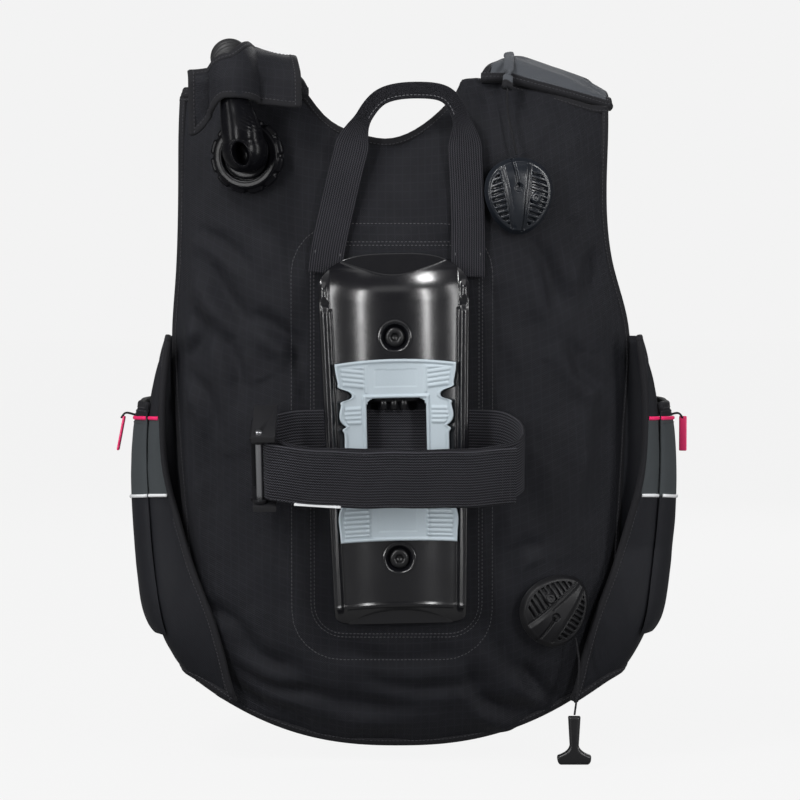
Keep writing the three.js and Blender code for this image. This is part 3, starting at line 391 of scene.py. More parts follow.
PINK_PIPING = woven("pink_piping", (0.62, 0.010, 0.075), (0.95, 0.035, 0.19), 0.0005, 0.00006, 0.5)
WHITE_PIPING = woven("reflective_piping", (0.52, 0.53, 0.55), (0.86, 0.87, 0.88), 0.0005, 0.00006, 0.4)
WEBBING = braided("webbing", (0.0012, 0.0012, 0.0016), (0.060, 0.060, 0.070), 0.0021, 0.0016, 0.0004)
BAND_WEBBING = braided("band_webbing", (0.0012, 0.0012, 0.0016), (0.085, 0.085, 0.098), 0.0026, 0.0021,
                       0.0007)
CORD = braided("cord_braid", (0.006, 0.006, 0.007), (0.035, 0.035, 0.038), 0.0007, 0.0009, 0.00015)
GLOSS = moulded("gloss_black", (0.0045, 0.0045, 0.0060), (0.012, 0.012, 0.015), 0.21, 0.00003, 260.0,
                shine=0.8)
ELBOW_BLACK = moulded("elbow_black", (0.003, 0.003, 0.004), (0.009, 0.009, 0.011), 0.23, shine=0.13)
SATIN = moulded("satin_black", (0.006, 0.006, 0.007), (0.020, 0.020, 0.022), 0.34)
MATT = moulded("matt_black", (0.004, 0.004, 0.005), (0.014, 0.014, 0.017), 0.46, 0.00006, shine=0.35)
SMOKE = moulded("smoke_grey", (0.008, 0.010, 0.014), (0.024, 0.028, 0.036), 0.24, 0.00003)
RUBBER = moulded("black_rubber", (0.0065, 0.0065, 0.0075), (0.022, 0.022, 0.024), 0.55, 0.00008)
GRIP_GREY = moulded("grip_grey", (0.40, 0.465, 0.51), (0.575, 0.65, 0.70), 0.5, 0.00009, 700.0)
PINK = moulded("pink_pull", (0.80, 0.022, 0.13), (0.98, 0.09, 0.28), 0.4)
STEEL = brushed("brushed_steel", (0.60, 0.61, 0.63), 0.28)


# ---------------------------------------------------------------- meshes
def mesh_piece(name, points, faces, material, uv=None, body="vest", slot=None, smooth=True):
    """A piece from points in millimetres, with uv in millimetres for each point."""
    mesh = bpy.data.meshes.new(name)
    mesh.from_pydata((np.asarray(points) * MM).tolist(), [], faces)
    if uv is not None:
        layer = mesh.uv_layers.new(name="UVMap")
        corner = np.empty(len(mesh.loops), int)
        mesh.loops.foreach_get("vertex_index", corner)
        layer.data.foreach_set("uv", (np.asarray(uv)[corner] * MM).astype(np.float32).ravel())
    mesh.materials.append(material)
    if smooth:
        mesh.polygons.foreach_set("use_smooth", [True] * len(mesh.polygons))
    mesh.update()
    piece = bpy.data.objects.new(name, mesh)
    bpy.context.collection.objects.link(piece)
    tidy_normals(piece)
    if body:
        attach(piece, body)
    return piece


def tidy_normals(piece):
    edit = bmesh.new()
    edit.from_mesh(piece.data)
    bmesh.ops.recalc_face_normals(edit, faces=edit.faces)
    edit.to_mesh(piece.data)
    edit.free()


def get_points(piece):
    co = np.empty(3 * len(piece.data.vertices))
    piece.data.vertices.foreach_get("co", co)
    return co.reshape(-1, 3) / MM


def set_points(piece, points):
    piece.data.vertices.foreach_set("co", (points * MM).ravel())
    piece.data.update()


def get_normals(piece):
    normals = np.empty(3 * len(piece.data.vertices))
    piece.data.vertices.foreach_get("normal", normals)
    return normals.reshape(-1, 3)


def apply_modifiers(piece):
    bpy.context.view_layer.update()
    graph = bpy.context.evaluated_depsgraph_get()
    mesh = bpy.data.meshes.new_from_object(piece.evaluated_get(graph), depsgraph=graph)
    old = piece.data
    piece.modifiers.clear()
    piece.data = mesh
    bpy.data.meshes.remove(old)


def subdivide(piece):
    step = piece.modifiers.new("subdivide", "SUBSURF")
    step.levels = step.render_levels = 1
    apply_modifiers(piece)


def grid_faces(rows, columns, start=0, wrap=False, flip=False):
    """Quads over a grid of points. With wrap, the last column joins the first."""
    faces = []
    last = columns if wrap else columns - 1
    for i in range(rows - 1):
        for j in range(last):
            a = start + i * columns + j
            b = start + i * columns + (j + 1) % columns
            quad = (a, b, b + columns, a + columns)
            faces.append(quad[::-1] if flip else quad)
    return faces


class Sheet:
    """A closed padded sheet: a middle surface over u and v, with a half thickness to each side."""

    def __init__(self, middle, half_thickness, columns, rows):
        self.columns, self.rows = columns, rows
        u, v = np.meshgrid(np.linspace(0, 1, columns), np.linspace(0, 1, rows))
        self.middle = middle(u, v)
        along_u = np.gradient(self.middle, axis=1)
        along_v = np.gradient(self.middle, axis=0)
        self.normal = unit(np.cross(along_u, along_v))
        lift = half_thickness(u, v)[..., None] * self.normal
        self.front, self.rear = self.middle + lift, self.middle - lift
        u_run = np.cumsum(np.linalg.norm(along_u, axis=2), axis=1)
        v_run = np.cumsum(np.linalg.norm(along_v, axis=2), axis=0)
        self.uv = np.stack([u_run - u_run[:, [columns // 2]], v_run], axis=2)

    def make(self, name, material, **how):
        count = self.rows * self.columns
        points = np.vstack([self.front.reshape(-1, 3), self.rear.reshape(-1, 3)])
        uv = np.vstack([self.uv.reshape(-1, 2)] * 2)
        faces = grid_faces(self.rows, self.columns)
        faces += grid_faces(self.rows, self.columns, count, flip=True)
        rim = self.rim()
        for a, b in zip(rim, rim[1:] + rim[:1]):
            faces.append((b, a, a + count, b + count))
        return mesh_piece(name, points, faces, material, uv, **how)

    def rim(self):
        """Indices of the border points, once round."""
        last_row = (self.rows - 1) * self.columns
        bottom = list(range(self.columns))
        right = [i * self.columns + self.columns - 1 for i in range(1, self.rows)]
        top = [last_row + j for j in range(self.columns - 2, -1, -1)]
        left = [i * self.columns for i in range(self.rows - 2, 0, -1)]
        return bottom + right + top + left

    def edge(self, which, step=1):
        """Points on one border, their face normals and the way into the sheet."""
        pick = {
            "bottom": (0, slice(None), 1, slice(None)),
            "top": (-1, slice(None), -2, slice(None)),
            "left": (slice(None), 0, slice(None), 1),
            "right": (slice(None), -1, slice(None), -2),
        }[which]
        border = self.middle[pick[0], pick[1]][::step]
        inside = self.middle[pick[2], pick[3]][::step]
        return border, self.normal[pick[0], pick[1]][::step], unit(inside - border)


def sweep(name, points, normals, profile, material, sizes=None, closed=False, caps=True, **how):
    """A closed profile carried along points. Profile x runs across, y along the normals.

    sizes gives a (across, along normal) scale for each point.
    """
    points, normals = np.asarray(points, float), np.asarray(normals, float)
    if closed:
        tangents = unit(np.roll(points, -1, axis=0) - np.roll(points, 1, axis=0))
    else:
        tangents = unit(np.gradient(points, axis=0))
    normals = unit(normals - (normals * tangents).sum(1, keepdims=True) * tangents)
    across = np.cross(tangents, normals)
    profile = np.asarray(profile, float)
    sizes = np.ones((len(points), 2)) if sizes is None else np.asarray(sizes, float)
    ring = profile[None] * sizes[:, None]
    body = points[:, None] + ring[..., :1] * across[:, None] + ring[..., 1:] * normals[:, None]
    count = len(profile)
    run = np.concatenate([[0], np.cumsum(np.linalg.norm(np.diff(points, axis=0), axis=1))])
    round_run = np.concatenate([[0], np.cumsum(np.linalg.norm(np.diff(profile, axis=0), axis=1))])
    uv = np.stack(np.broadcast_arrays(round_run[None], run[:, None]), axis=2)
    faces = grid_faces(len(points), count, wrap=True)
    if closed:
        last = (len(points) - 1) * count
        for j in range(count):
            k = (j + 1) % count
            faces.append((last + j, last + k, k, j))
    elif caps:
        faces.append(tuple(range(count))[::-1])
        faces.append(tuple(range((len(points) - 1) * count, len(points) * count)))
    return mesh_piece(name, body.reshape(-1, 3), faces, material, uv.reshape(-1, 2), **how)


def round_profile(width, thickness, sides=14, squareness=2.6):
    """A rounded flat section. Squareness 2 is an ellipse, and more is squarer."""
    angle = np.linspace(0, 2 * pi, sides, endpoint=False)
    c, s = np.cos(angle), np.sin(angle)
    power = 2 / squareness
    return np.stack(
        [0.5 * width * np.sign(c) * np.abs(c) ** power, 0.5 * thickness * np.sign(s) * np.abs(s) ** power],
        axis=1,
    )


POINTS_PER_RIB = 6


def ribbed_profile(width, thickness, ribs, depth):
    """A flat strap's section with ribs along both faces."""
    count = ribs * POINTS_PER_RIB
    across = np.linspace(-0.5, 0.5, count + 1)
    swell = depth * (np.abs(np.sin(pi * ribs * (across + 0.5))) - 1)
    edge = 1 - smoothstep(np.abs(across), 0.5 - 0.9 / width, 0.5) * 0.55
    half = (0.5 * thickness + swell) * edge
    upper = np.stack([across * width, half], axis=1)
    lower = np.stack([across[::-1] * width, -half[::-1]], axis=1)
    return np.vstack([upper, lower])


def tube(name, path, radius, material, sides=12, spacing=2.0, **how):
    points, tangents = path.even(spacing)
    start = np.array([0, 0, 1.0]) if abs(tangents[0][2]) < 0.9 else np.array([0, 1.0, 0])
    normals = [unit(start - start @ tangents[0] * tangents[0])]
    for tangent in tangents[1:]:
        last = normals[-1]
        normals.append(unit(last - last @ tangent * tangent))
    profile = round_profile(2 * radius, 2 * radius, sides, 2)
    return sweep(name, points, np.array(normals), profile, material, **how)


def joined(name, pieces, body="vest"):
    """Several new pieces as one."""
    for piece in pieces:
        piece.parent = None
    with bpy.context.temp_override(
        active_object=pieces[0], selected_editable_objects=pieces, selected_objects=pieces
    ):
        bpy.ops.object.join()
    whole = pieces[0]
    whole.name = name
    whole.data.name = name
    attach(whole, body)
    return whole


STITCH_PITCH = 3.4


def stitches(name, rows, material=THREAD, body="vest", length=2.4, width=0.75, slot=None):
    """Sewn rows: one small rounded thread for each stitch. A row is (points, normals)."""
    profile = round_profile(width, width, 6, 2)
    ends = np.array([0.0, 0.16, 0.84, 1.0])
    swell = np.array([0.35, 1.0, 1.0, 0.35])
    sink = np.array([-0.35, 0.0, 0.0, -0.35])
    verts, faces = [], []
    for points, normals in rows:
        points, normals = np.asarray(points, float), np.asarray(normals, float)
        run = np.concatenate([[0], np.cumsum(np.linalg.norm(np.diff(points, axis=0), axis=1))])
        for start in np.arange(1.0, run[-1] - length, STITCH_PITCH):
            marks = start + ends * length
            spots = np.stack([np.interp(marks, run, points[:, k]) for k in range(3)], axis=1)
            up = unit(np.array([np.interp(start, run, normals[:, k]) for k in range(3)]))
            along = unit(spots[-1] - spots[0])
            side = np.cross(along, up)
            base = len(verts)
            for spot, grow, low in zip(spots, swell, sink):
                centre = spot + up * low
                verts.extend(centre + grow * (p[0] * side + p[1] * up) for p in profile)
            faces += grid_faces(4, 6, base, wrap=True)
            faces += [tuple(base + k for k in range(5, -1, -1)), tuple(base + 18 + k for k in range(6))]
    uv = np.asarray(verts)[:, [0, 2]]
    return mesh_piece(name, np.array(verts), faces, material, uv, body=body, slot=slot)


def surface_tree(*pieces):
    """A lookup over the final meshes of pieces, in millimetres."""
    points, faces, start = [], [], 0
    for piece in pieces:
        co = get_points(piece)
        points.extend(co.tolist())
        faces.extend([tuple(start + i for i in face.vertices) for face in piece.data.polygons])
        start += len(co)
    return BVHTree.FromPolygons(points, faces)


RAY_START = 400


def projected(tree, points, direction=(0, 1, 0), lift=0.0):
    """Where lines along direction first meet a surface, and the surface's normals there."""
    way = Vector(direction)
    spots, normals = [], []
    for point in np.asarray(points, float):
        spot, normal, _, _ = tree.ray_cast(Vector(point) - RAY_START * way, way)
        if spot is None:
            continue
        if normal.dot(way) > 0:
            normal = -normal
        spots.append(np.array(spot + lift * normal))
        normals.append(np.array(normal))
    return np.array(spots), np.array(normals)


def even_line(points, spacing=2.0):
    """Points every spacing along straight stretches between flat (x, z) points."""
    points = np.array(points, float)
    run = np.concatenate([[0], np.cumsum(np.linalg.norm(np.diff(points, axis=0), axis=1))])
    marks = np.linspace(0, run[-1], max(2, int(run[-1] / spacing)))
    x, z = (np.interp(marks, run, points[:, k]) for k in range(2))
    return np.stack([x, np.zeros_like(x), z], axis=1)


def flat_curve(points, spacing):
    """A smooth line through flat (x, z) points."""
    return Path([(x, 0, z) for x, z in points]).even(spacing)[0]


# ---------------------------------------------------------------- cloth
CLOTH_PRESSURE = 3.5
CLOTH_SLACK = 0.02


def puff(piece, pinned, most, frames=20):
    """Blows a padded piece up as cloth, held where pinned is 1, and never further than most."""
    before = get_points(piece)
    group = piece.vertex_groups.new(name="held")
    for weight in np.unique(np.round(pinned, 1)):
        chosen = np.nonzero(np.round(pinned, 1) == weight)[0].tolist()
        group.add(chosen, float(weight), "REPLACE")
    cloth = piece.modifiers.new("cloth", "CLOTH")
    settings = cloth.settings
    settings.quality = 5
    settings.mass = 0.25
    settings.tension_stiffness = settings.compression_stiffness = 12
    settings.shear_stiffness = 6
    settings.bending_stiffness = 0.6
    settings.shrink_min = settings.shrink_max = -CLOTH_SLACK
    settings.use_pressure = True
    settings.uniform_pressure_force = CLOTH_PRESSURE
    settings.effector_weights.gravity = 0
    settings.vertex_group_mass = "held"
    settings.pin_stiffness = 1
    cloth.collision_settings.use_collision = False
    cloth.collision_settings.use_self_collision = False
    cloth.point_cache.frame_start = 1
    cloth.point_cache.frame_end = frames
    scene = bpy.context.scene
    for step in range(1, frames + 1):
        scene.frame_set(step)
    apply_modifiers(piece)
    scene.frame_set(1)
    moved = get_points(piece) - before
    reach = np.linalg.norm(moved, axis=1, keepdims=True)
    set_points(piece, before + moved * np.minimum(1, most / np.maximum(reach, 1e-6)))
    piece.vertex_groups.clear()


def crease(points, line, depth, width):
    """How far each point sinks into a fold along a line of (x, z) points.

    A fold is a groove with a soft ridge beside it. It dies out towards both ends of the line.
    """
    route = flat_curve(line, 4.0)[:, [0, 2]]
    share = np.linspace(0, 1, len(route))
    fade = np.sin(pi * np.clip(share, 0.02, 0.98)) ** 0.6
    flat = points[:, [0, 2]]
    near = np.full(len(points), 1e9)
    signed = np.zeros(len(points))
    strength = np.zeros(len(points))
    along = unit(np.gradient(route, axis=0))
    for spot, way, weight in zip(route, along, fade):
        gap = flat - spot
        distance = np.hypot(gap[:, 0], gap[:, 1])
        closer = distance < near
        near = np.where(closer, distance, near)
        cross = gap[:, 0] * way[1] - gap[:, 1] * way[0]
        signed = np.where(closer, cross, signed)
        strength = np.where(closer, weight, strength)
    groove = -np.exp(-((near / width) ** 2))
    ridge = 0.75 * np.exp(-(((signed - 1.7 * width) / (1.2 * width)) ** 2)) * (near < 5 * width)
    return depth * strength * (groove + ridge)


# ---------------------------------------------------------------- the back's shape
BACK_MIDDLE_Y = -34
BACK_HALF_THICKNESS = 14
SHOULDER_SEAM_Z = 304
HEM_Z = -277
SIDE_SHIFT = {LEFT: 0, RIGHT: 12}
PLATE_LEAN = radians(-1.2)


def back_y(x, z):
    aside = 42 * (np.abs(x) / 198) ** 3.6
    above = 46 * (np.maximum(z - 250, 0) / 88) ** 2
    below = 34 * (np.maximum(-110 - z, 0) / 167) ** 2
    return BACK_MIDDLE_Y + aside + above + below


def hem_z(x):
    return HEM_Z + 60 * (np.abs(x) / 200) ** 2.4


neckline = graded([
    (-100, 345), (-96, 335), (-70, 293), (-24, 267), (4, 264), (40, 281), (64, 304), (90, 339), (94, 349),
])
panel_left = graded([(-280, 172), (-200, 182), (-100, 188), (0, 196), (95, 200), (150, 196), (310, 193)])
panel_right = graded([(-280, 180), (-200, 192), (-100, 198), (0, 204), (100, 206), (160, 190), (310, 187)])
NECK_SEAM = {LEFT: 78, RIGHT: 64}


def shoulder_seam_z(x):
    """The seam between the back and the yokes is level on the left and falls towards the arm on the right."""
    return np.where(x > 0, np.clip(316 - 0.25 * (x - 102), 294, 317), SHOULDER_SEAM_Z)


def panel_top(across):
    on_shoulder = (across < -NECK_SEAM[LEFT]) | (across > NECK_SEAM[RIGHT])
    seam = shoulder_seam_z(across)
    return np.where(on_shoulder, seam, np.minimum(neckline(across), seam))


def on_shoulder_share(u, v):
    """1 along the back's shoulder seams, and 0 elsewhere."""
    across = lerp(-panel_left(0), panel_right(0), u)
    beyond = np.maximum(across - NECK_SEAM[RIGHT], -NECK_SEAM[LEFT] - across)
    return smoothstep(beyond, 2, 14) * smoothstep(v, 0.6, 0.9)


def panel_middle(u, v):
    across = lerp(-panel_left(0), panel_right(0), u)
    z = lerp(hem_z(across), panel_top(across), v)
    x = lerp(-panel_left(z), panel_right(z), u)
    return np.stack([x, back_y(x, z), z], axis=-1)


def pillow(share):
    """1 in the middle of a sheet and 0 at its border."""
    return np.clip(1 - np.abs(2 * share - 1) ** 5, 0, 1) ** 0.68


def sheet_pillow(u, v):
    return pillow(u) * pillow(v)


def seat_place(x, z, turn_degrees):
    """A fitting's seat on the back: its centre, and its axes across, outward and up."""
    turn = radians(turn_degrees)
    centre = np.array([x, float(back_y(x, z)) - 15.5, z])
    across = np.array([cos(turn), sin(turn), 0])
    outward = np.array([sin(turn), -cos(turn), 0])
    return centre, across, outward, np.array([0, 0, 1.0])


SEATS = {
    "elbow": seat_place(-129, 249, -14),
    "upper_dump": seat_place(105.6, 214, 8.5),
    "lower_dump": seat_place(139, -150, 16),
}


def make_back_panel():
    swell = lambda u, v: pillow(u) * np.maximum(pillow(v), 0.3 * on_shoulder_share(u, v))
    sheet = Sheet(panel_middle, lambda u, v: BACK_HALF_THICKNESS * 0.86 * swell(u, v), 109, 121)
    panel = sheet.make("back_air_cell_cover", FABRIC, slot="air_cell_fabric")
    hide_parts("back_air_cell")
    points = get_points(panel)
    border = np.minimum(
        np.minimum(points[:, 0] + panel_left(points[:, 2]), panel_right(points[:, 2]) - points[:, 0]),
        np.minimum(points[:, 2] - hem_z(points[:, 0]), panel_top(points[:, 0]) - points[:, 2]),
    )
    held = 1 - smoothstep(border, 1, 16)
    under_plate = (np.abs(points[:, 0] - 4) < 74) & (points[:, 2] < 172) & (points[:, 2] > -172)
    held = np.maximum(held, under_plate * 1.0)
    strands = (np.abs(np.abs(points[:, 0]) - 56) < 22) & (points[:, 2] > 120)
    held = np.maximum(held, strands * 0.8)
    for centre, *_ in SEATS.values():
        away = np.hypot(points[:, 0] - centre[0], points[:, 2] - centre[2])
        held = np.maximum(held, 1 - smoothstep(away, 36, 50))
    puff(panel, held, most=7)
    subdivide(panel)
    fold_back_panel(panel)
    swell_under_plate(panel)
    return sheet, panel


PLATE_STAND_OFF = 3.6
BAND_CLEAR = (34, 46)  # the swell starts between these heights over and under the band
SWELL_TOP, SWELL_BOTTOM = (122, 134), (140, 152)  # and ends between these
SWELL_SIDE = (46, 56)


def swell_under_plate(panel):
    """The cloth fills up to the tank plate's back, above and below the band that runs between them."""
    points, normals = get_points(panel), get_normals(panel)
    x, z = np.abs(points[:, 0]), points[:, 2]
    above_band = smoothstep(z, *BAND_CLEAR) * (1 - smoothstep(z, *SWELL_TOP))
    below_band = smoothstep(-z, *BAND_CLEAR) * (1 - smoothstep(-z, *SWELL_BOTTOM))
    facing_plate = smoothstep(-normals[:, 1], 0.3, 0.7) * (1 - smoothstep(x, *SWELL_SIDE))
    points[:, 1] -= PLATE_STAND_OFF * (above_band + below_band) * facing_plate
    set_points(panel, points)


# Folds of the empty air cell: the line, its depth and its width.
BACK_FOLDS = [
    ([(-168, 154), (-152, 128), (-131, 96)], 5.5, 9),
    ([(-131, 112), (-106, 98), (-90, 84), (-85, 62)], 4.5, 8),
    ([(-180, 116), (-171, 92), (-184, 70)], 4.0, 7),
    ([(150, 196), (166, 168), (176, 132)], 2.6, 11),
    ([(120, 150), (146, 124), (158, 96)], 2.2, 12),
    ([(-150, -170), (-118, -196), (-84, -206)], 3.2, 9),
    ([(-168, -196), (-140, -226), (-104, -244)], 3.4, 9),
    ([(-96, -222), (-30, -238), (44, -236)], 2.6, 9),
    ([(-60, -188), (0, -196), (62, -190)], 1.8, 9),
    ([(96, -122), (108, -98), (132, -92)], 2.6, 8),
    ([(90, -176), (104, -204), (136, -222)], 3.2, 9),
    ([(60, -228), (110, -246), (150, -236)], 2.4, 9),
    ([(-172, 20), (-166, -40), (-160, -104)], 3.2, 10),
    ([(184, 26), (180, -30), (172, -80)], 2.8, 10),
    ([(-120, 196), (-96, 176), (-88, 150)], 1.8, 11),
    ([(78, 140), (92, 96), (96, 40)], 1.6, 12),
    ([(-104, 20), (-100, -50), (-96, -120)], 1.5, 13),
    ([(-176, 186), (-150, 170), (-128, 148)], 3.0, 7),
    ([(-160, 100), (-140, 62), (-138, 24)], 3.4, 8),
    ([(-186, 60), (-168, 36), (-160, 0)], 3.0, 7),
    ([(112, 186), (134, 150), (140, 108)], 3.4, 8),
    ([(186, 176), (172, 150), (168, 118)], 3.0, 7),
    ([(150, 92), (166, 60), (188, 44)], 3.0, 8),
    ([(-148, -200), (-112, -222), (-70, -228)], 2.8, 6),
    ([(-176, -150), (-150, -160), (-128, -182)], 2.8, 7),
    ([(110, -196), (126, -224), (150, -238)], 2.8, 6),
    ([(64, -198), (72, -226), (100, -248)], 2.6, 7),
    ([(-40, -210), (20, -222), (84, -214)], 2.2, 7),
]


def fold_back_panel(panel):
    points, normals = get_points(panel), get_normals(panel)
    rear = normals[:, 1] < 0
    clear = np.ones(len(points))
    for centre, *_ in SEATS.values():
        away = np.hypot(points[:, 0] - centre[0], points[:, 2] - centre[2])
        clear *= smoothstep(away, 34, 48)
    plate_away = np.maximum(np.abs(points[:, 0] - 2) - 72, np.abs(points[:, 2] - 2) - 170)
    clear *= smoothstep(plate_away, 0, 14)
    border = np.minimum(points[:, 0] + panel_left(points[:, 2]), panel_right(points[:, 2]) - points[:, 0])
    clear *= smoothstep(border, 3, 18)
    push = np.zeros(len(points))
    for line, depth, width in BACK_FOLDS:
        push += crease(points, line, 1.5 * depth, width)
    push += 2.4 * ripple(points, (52, 60, 70), 3)
    push += 0.9 * ripple(points, (16, 40, 26), 5)
    away_push = np.where(rear, push, 0.4 * ripple(points, (60, 60, 60), 9, 2)) * clear
    set_points(panel, points + away_push[:, None] * normals)


back_sheet, back_panel = make_back_panel()

def paint_between(piece, index, inside):
    """Gives the faces whose centres pass a test the material at index."""
    centres = np.empty(3 * len(piece.data.polygons))
    piece.data.polygons.foreach_get("center", centres)
    chosen = inside(centres.reshape(-1, 3) / MM)
    piece.data.polygons.foreach_set("material_index", (chosen * index).astype(np.int32))
    piece.data.update()


# ---------------------------------------------------------------- shoulder yokes
YOKE_PATH = Path([
    (0, 24, 307), (0, 44, 325), (0, 74, 338), (0, 104, 334), (0, 134, 306), (0, 154, 262), (0, 164, 210),
    (0, 168, 140),
])
yoke_inner = graded([(0, 75), (0.07, 80), (0.13, 86), (0.2, 92), (0.45, 96), (0.7, 90), (1, 84)])
yoke_outer = graded([(0, 191), (0.3, 190), (0.5, 182), (0.75, 164), (1, 150)])


def yoke_middle(side):
    def middle(u, v):
        inner = yoke_inner(v) + (4 * (1 - smoothstep(v, 0, 0.3)) if side == LEFT else 0)
        x = lerp(inner, yoke_outer(v), u)
        spot = YOKE_PATH.at(v)
        on_ridge = smoothstep(v, 0, 0.22) * (1 - smoothstep(v, 0.55, 0.85))
        dip = 14 * np.maximum(0, 1 - ((x - 150) / 34) ** 2) if side == LEFT else 0
        flat = 4 if side == LEFT else 0
        drop = on_ridge * (0.34 * np.maximum(0, x - 105) + np.maximum(dip, flat))
        from_back = (1 - smoothstep(v, 0, 0.4)) * (back_y(x, SHOULDER_SEAM_Z) - 24 + 1)
        from_seam = (1 - smoothstep(v, 0, 0.3)) * (shoulder_seam_z(side * x) - SHOULDER_SEAM_Z)
        return np.stack([side * x, spot[..., 1] + from_back, spot[..., 2] + from_seam - drop], axis=-1)

    return middle


def make_yoke(name, side):
    thickness = 6.2
    taper = lambda v: lerp(0.5, 1, smoothstep(v, 0, 0.1))
    sheet = Sheet(yoke_middle(side), lambda u, v: thickness * (0.45 + 0.5 * pillow(u)) * taper(v), 45, 101)
    yoke = sheet.make(f"{name}_shoulder_yoke_cover", FABRIC, slot="air_cell_fabric")
    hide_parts(f"{name}_shoulder_yoke")
    yoke.data.materials.append(GREY_FABRIC)
    u = np.tile(np.tile(np.linspace(0, 1, sheet.columns), sheet.rows), 2)
    held = 1 - smoothstep(np.minimum(u, 1 - u), 0.02, 0.16)
    puff(yoke, held, most=2.5, frames=12)
    subdivide(yoke)
    points, normals = get_points(yoke), get_normals(yoke)
    push = 0.5 * ripple(points, (30, 30, 30), 11 + side)
    set_points(yoke, points + push[:, None] * normals)
    if side == RIGHT:
        paint_between(yoke, 1, lambda p: p[:, 1] < 70)
    return sheet, yoke


yokes = {name: make_yoke(name, side) for name, side in SIDES.items()}

# ---------------------------------------------------------------- side lobes and pockets
lobe_rear_x = graded([
    (-240, 143), (-225, 148), (-190, 156), (-165, 163), (-116, 182), (-77, 194), (-31, 206),
    (24, 209), (97, 203),
])
lobe_reach = graded([(-215, 186), (-169, 203), (-119, 211), (-20, 217), (60, 212), (97, 206)])
lobe_top = graded([(0, 92), (0.18, 72), (0.36, 40), (0.6, 34), (1, 62)])
lobe_bottom = graded([(0, -237), (0.1, -216), (0.2, -207), (0.5, -196), (1, -176)])


def lobe_curves(side, z):
    """Control points of the lobe's level sections, one column of eight for each height."""
    shift = SIDE_SHIFT[side]
    rear = lobe_rear_x(z) + shift
    rear_y = np.minimum(back_y(rear, z) - BACK_HALF_THICKNESS * 0.85 - 6, -9)
    reach = lobe_reach(z) + shift
    columns = [
        (rear, rear_y), (reach - 1, rear_y + 12), (reach, 42), (reach, 85), (reach - 14, 130),
        (reach - 48, 168), (118, 188), (62, 192),
    ]
    return [np.stack(np.broadcast_arrays(side * x, y, z), axis=-1) for x, y in columns]


def along_lobe(side, share, z):
    """The lobe's middle surface at a share of its length, at height z."""
    flat_share, flat_z = np.broadcast_arrays(np.asarray(share, float), np.asarray(z, float))
    result = np.empty((*flat_z.shape, 3))
    for index in np.ndindex(flat_z.shape):
        knots = [column for column in lobe_curves(side, flat_z[index])]
        result[index] = Path(knots).at(flat_share[index])
    return result


def lobe_middle(side):
    def middle(u, v):
        return along_lobe(side, u, lerp(lobe_bottom(u), lobe_top(u), v))

    return middle


def pocket_seam_top(points):
    """Height of the pink seam, which falls towards the front."""
    return 16 - 0.03 * (points[:, 1] - 20)


def pocket_seam_bottom(points):
    return -55 - 0.10 * (points[:, 1] - 20)


def in_grey_band(points):
    return (points[:, 2] < pocket_seam_top(points)) & (points[:, 2] > pocket_seam_bottom(points))


def make_lobe(name, side):
    sheet = Sheet(lobe_middle(side), lambda u, v: 8.6 * sheet_pillow(u, v), 97, 65)
    lobe = sheet.make(f"{name}_side_lobe_cover", SMOOTH_FABRIC, slot="air_cell_fabric")
    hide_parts(f"{name}_side_lobe")
    grid = np.meshgrid(np.linspace(0, 1, sheet.columns), np.linspace(0, 1, sheet.rows))
    u, v = (np.tile(part.ravel(), 2) for part in grid)
    edge = np.minimum(np.minimum(u, 1 - u) * 1.8, np.minimum(v, 1 - v))
    held = 1 - smoothstep(edge, 0.01, 0.09)
    puff(lobe, held, most=4, frames=16)
    subdivide(lobe)
    points, normals = get_points(lobe), get_normals(lobe)
    push = 0.9 * ripple(points, (40, 40, 90), 21 + side) + 0.45 * ripple(points, (14, 14, 40), 27 + side)
    set_points(lobe, points + push[:, None] * normals)
    lobe.data.materials.append(POCKET_GREY)
    paint_between(lobe, 1, lambda p: in_grey_band(p) & (p[:, 1] < 60))
    return sheet, lobe


lobes = {name: make_lobe(name, side) for name, side in SIDES.items()}

POCKET = {"from": 0.135, "to": 0.6, "bottom": -176, "top": 30}


def pocket_middle(side):
    def middle(u, v):
        share = lerp(POCKET["from"], POCKET["to"], u)
        z = lerp(POCKET["bottom"], POCKET["top"], v)
        spot = along_lobe(side, share, z)
        ahead = along_lobe(side, share + 2e-3, z) - spot
        outward = unit(np.stack([ahead[..., 1], -ahead[..., 0], 0 * z], axis=-1) * side)
        lift = lerp(9.5, 16.5, smoothstep(u, 0, 0.2) * (1 - smoothstep(u, 0.9, 1)))
        return spot + lift[..., None] * outward

    return middle


def make_pocket(name, side):
    sheet = Sheet(pocket_middle(side), lambda u, v: 7.2 * sheet_pillow(u, v), 57, 57)
    pocket = sheet.make(f"{name}_hip_pocket_cover", SMOOTH_FABRIC, slot="pocket_fabric")
    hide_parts(f"{name}_hip_pocket")
    pocket.data.materials.append(POCKET_GREY)
    grid = np.meshgrid(np.linspace(0, 1, sheet.columns), np.linspace(0, 1, sheet.rows))
    u, v = (np.tile(part.ravel(), 2) for part in grid)
    held = 1 - smoothstep(np.minimum(np.minimum(u, 1 - u), np.minimum(v, 1 - v)), 0.01, 0.1)
    puff(pocket, held, most=3, frames=12)
    subdivide(pocket)
    points, normals = get_points(pocket), get_normals(pocket)
    push = 0.7 * ripple(points, (30, 30, 60), 31 + side)
    set_points(pocket, points + push[:, None] * normals)
    paint_between(pocket, 1, in_grey_band)
    return sheet, pocket


pockets = {name: make_pocket(name, side) for name, side in SIDES.items()}


# ---------------------------------------------------------------- moulded reliefs
def leaned(points):
    """The tank plate leans a little on the soft back."""
    x, y, z = np.moveaxis(np.asarray(points, float), -1, 0)
    turn = (cos(PLATE_LEAN), sin(PLATE_LEAN))
    return np.stack([x * turn[0] + z * turn[1], y, z * turn[0] - x * turn[1]], -1)


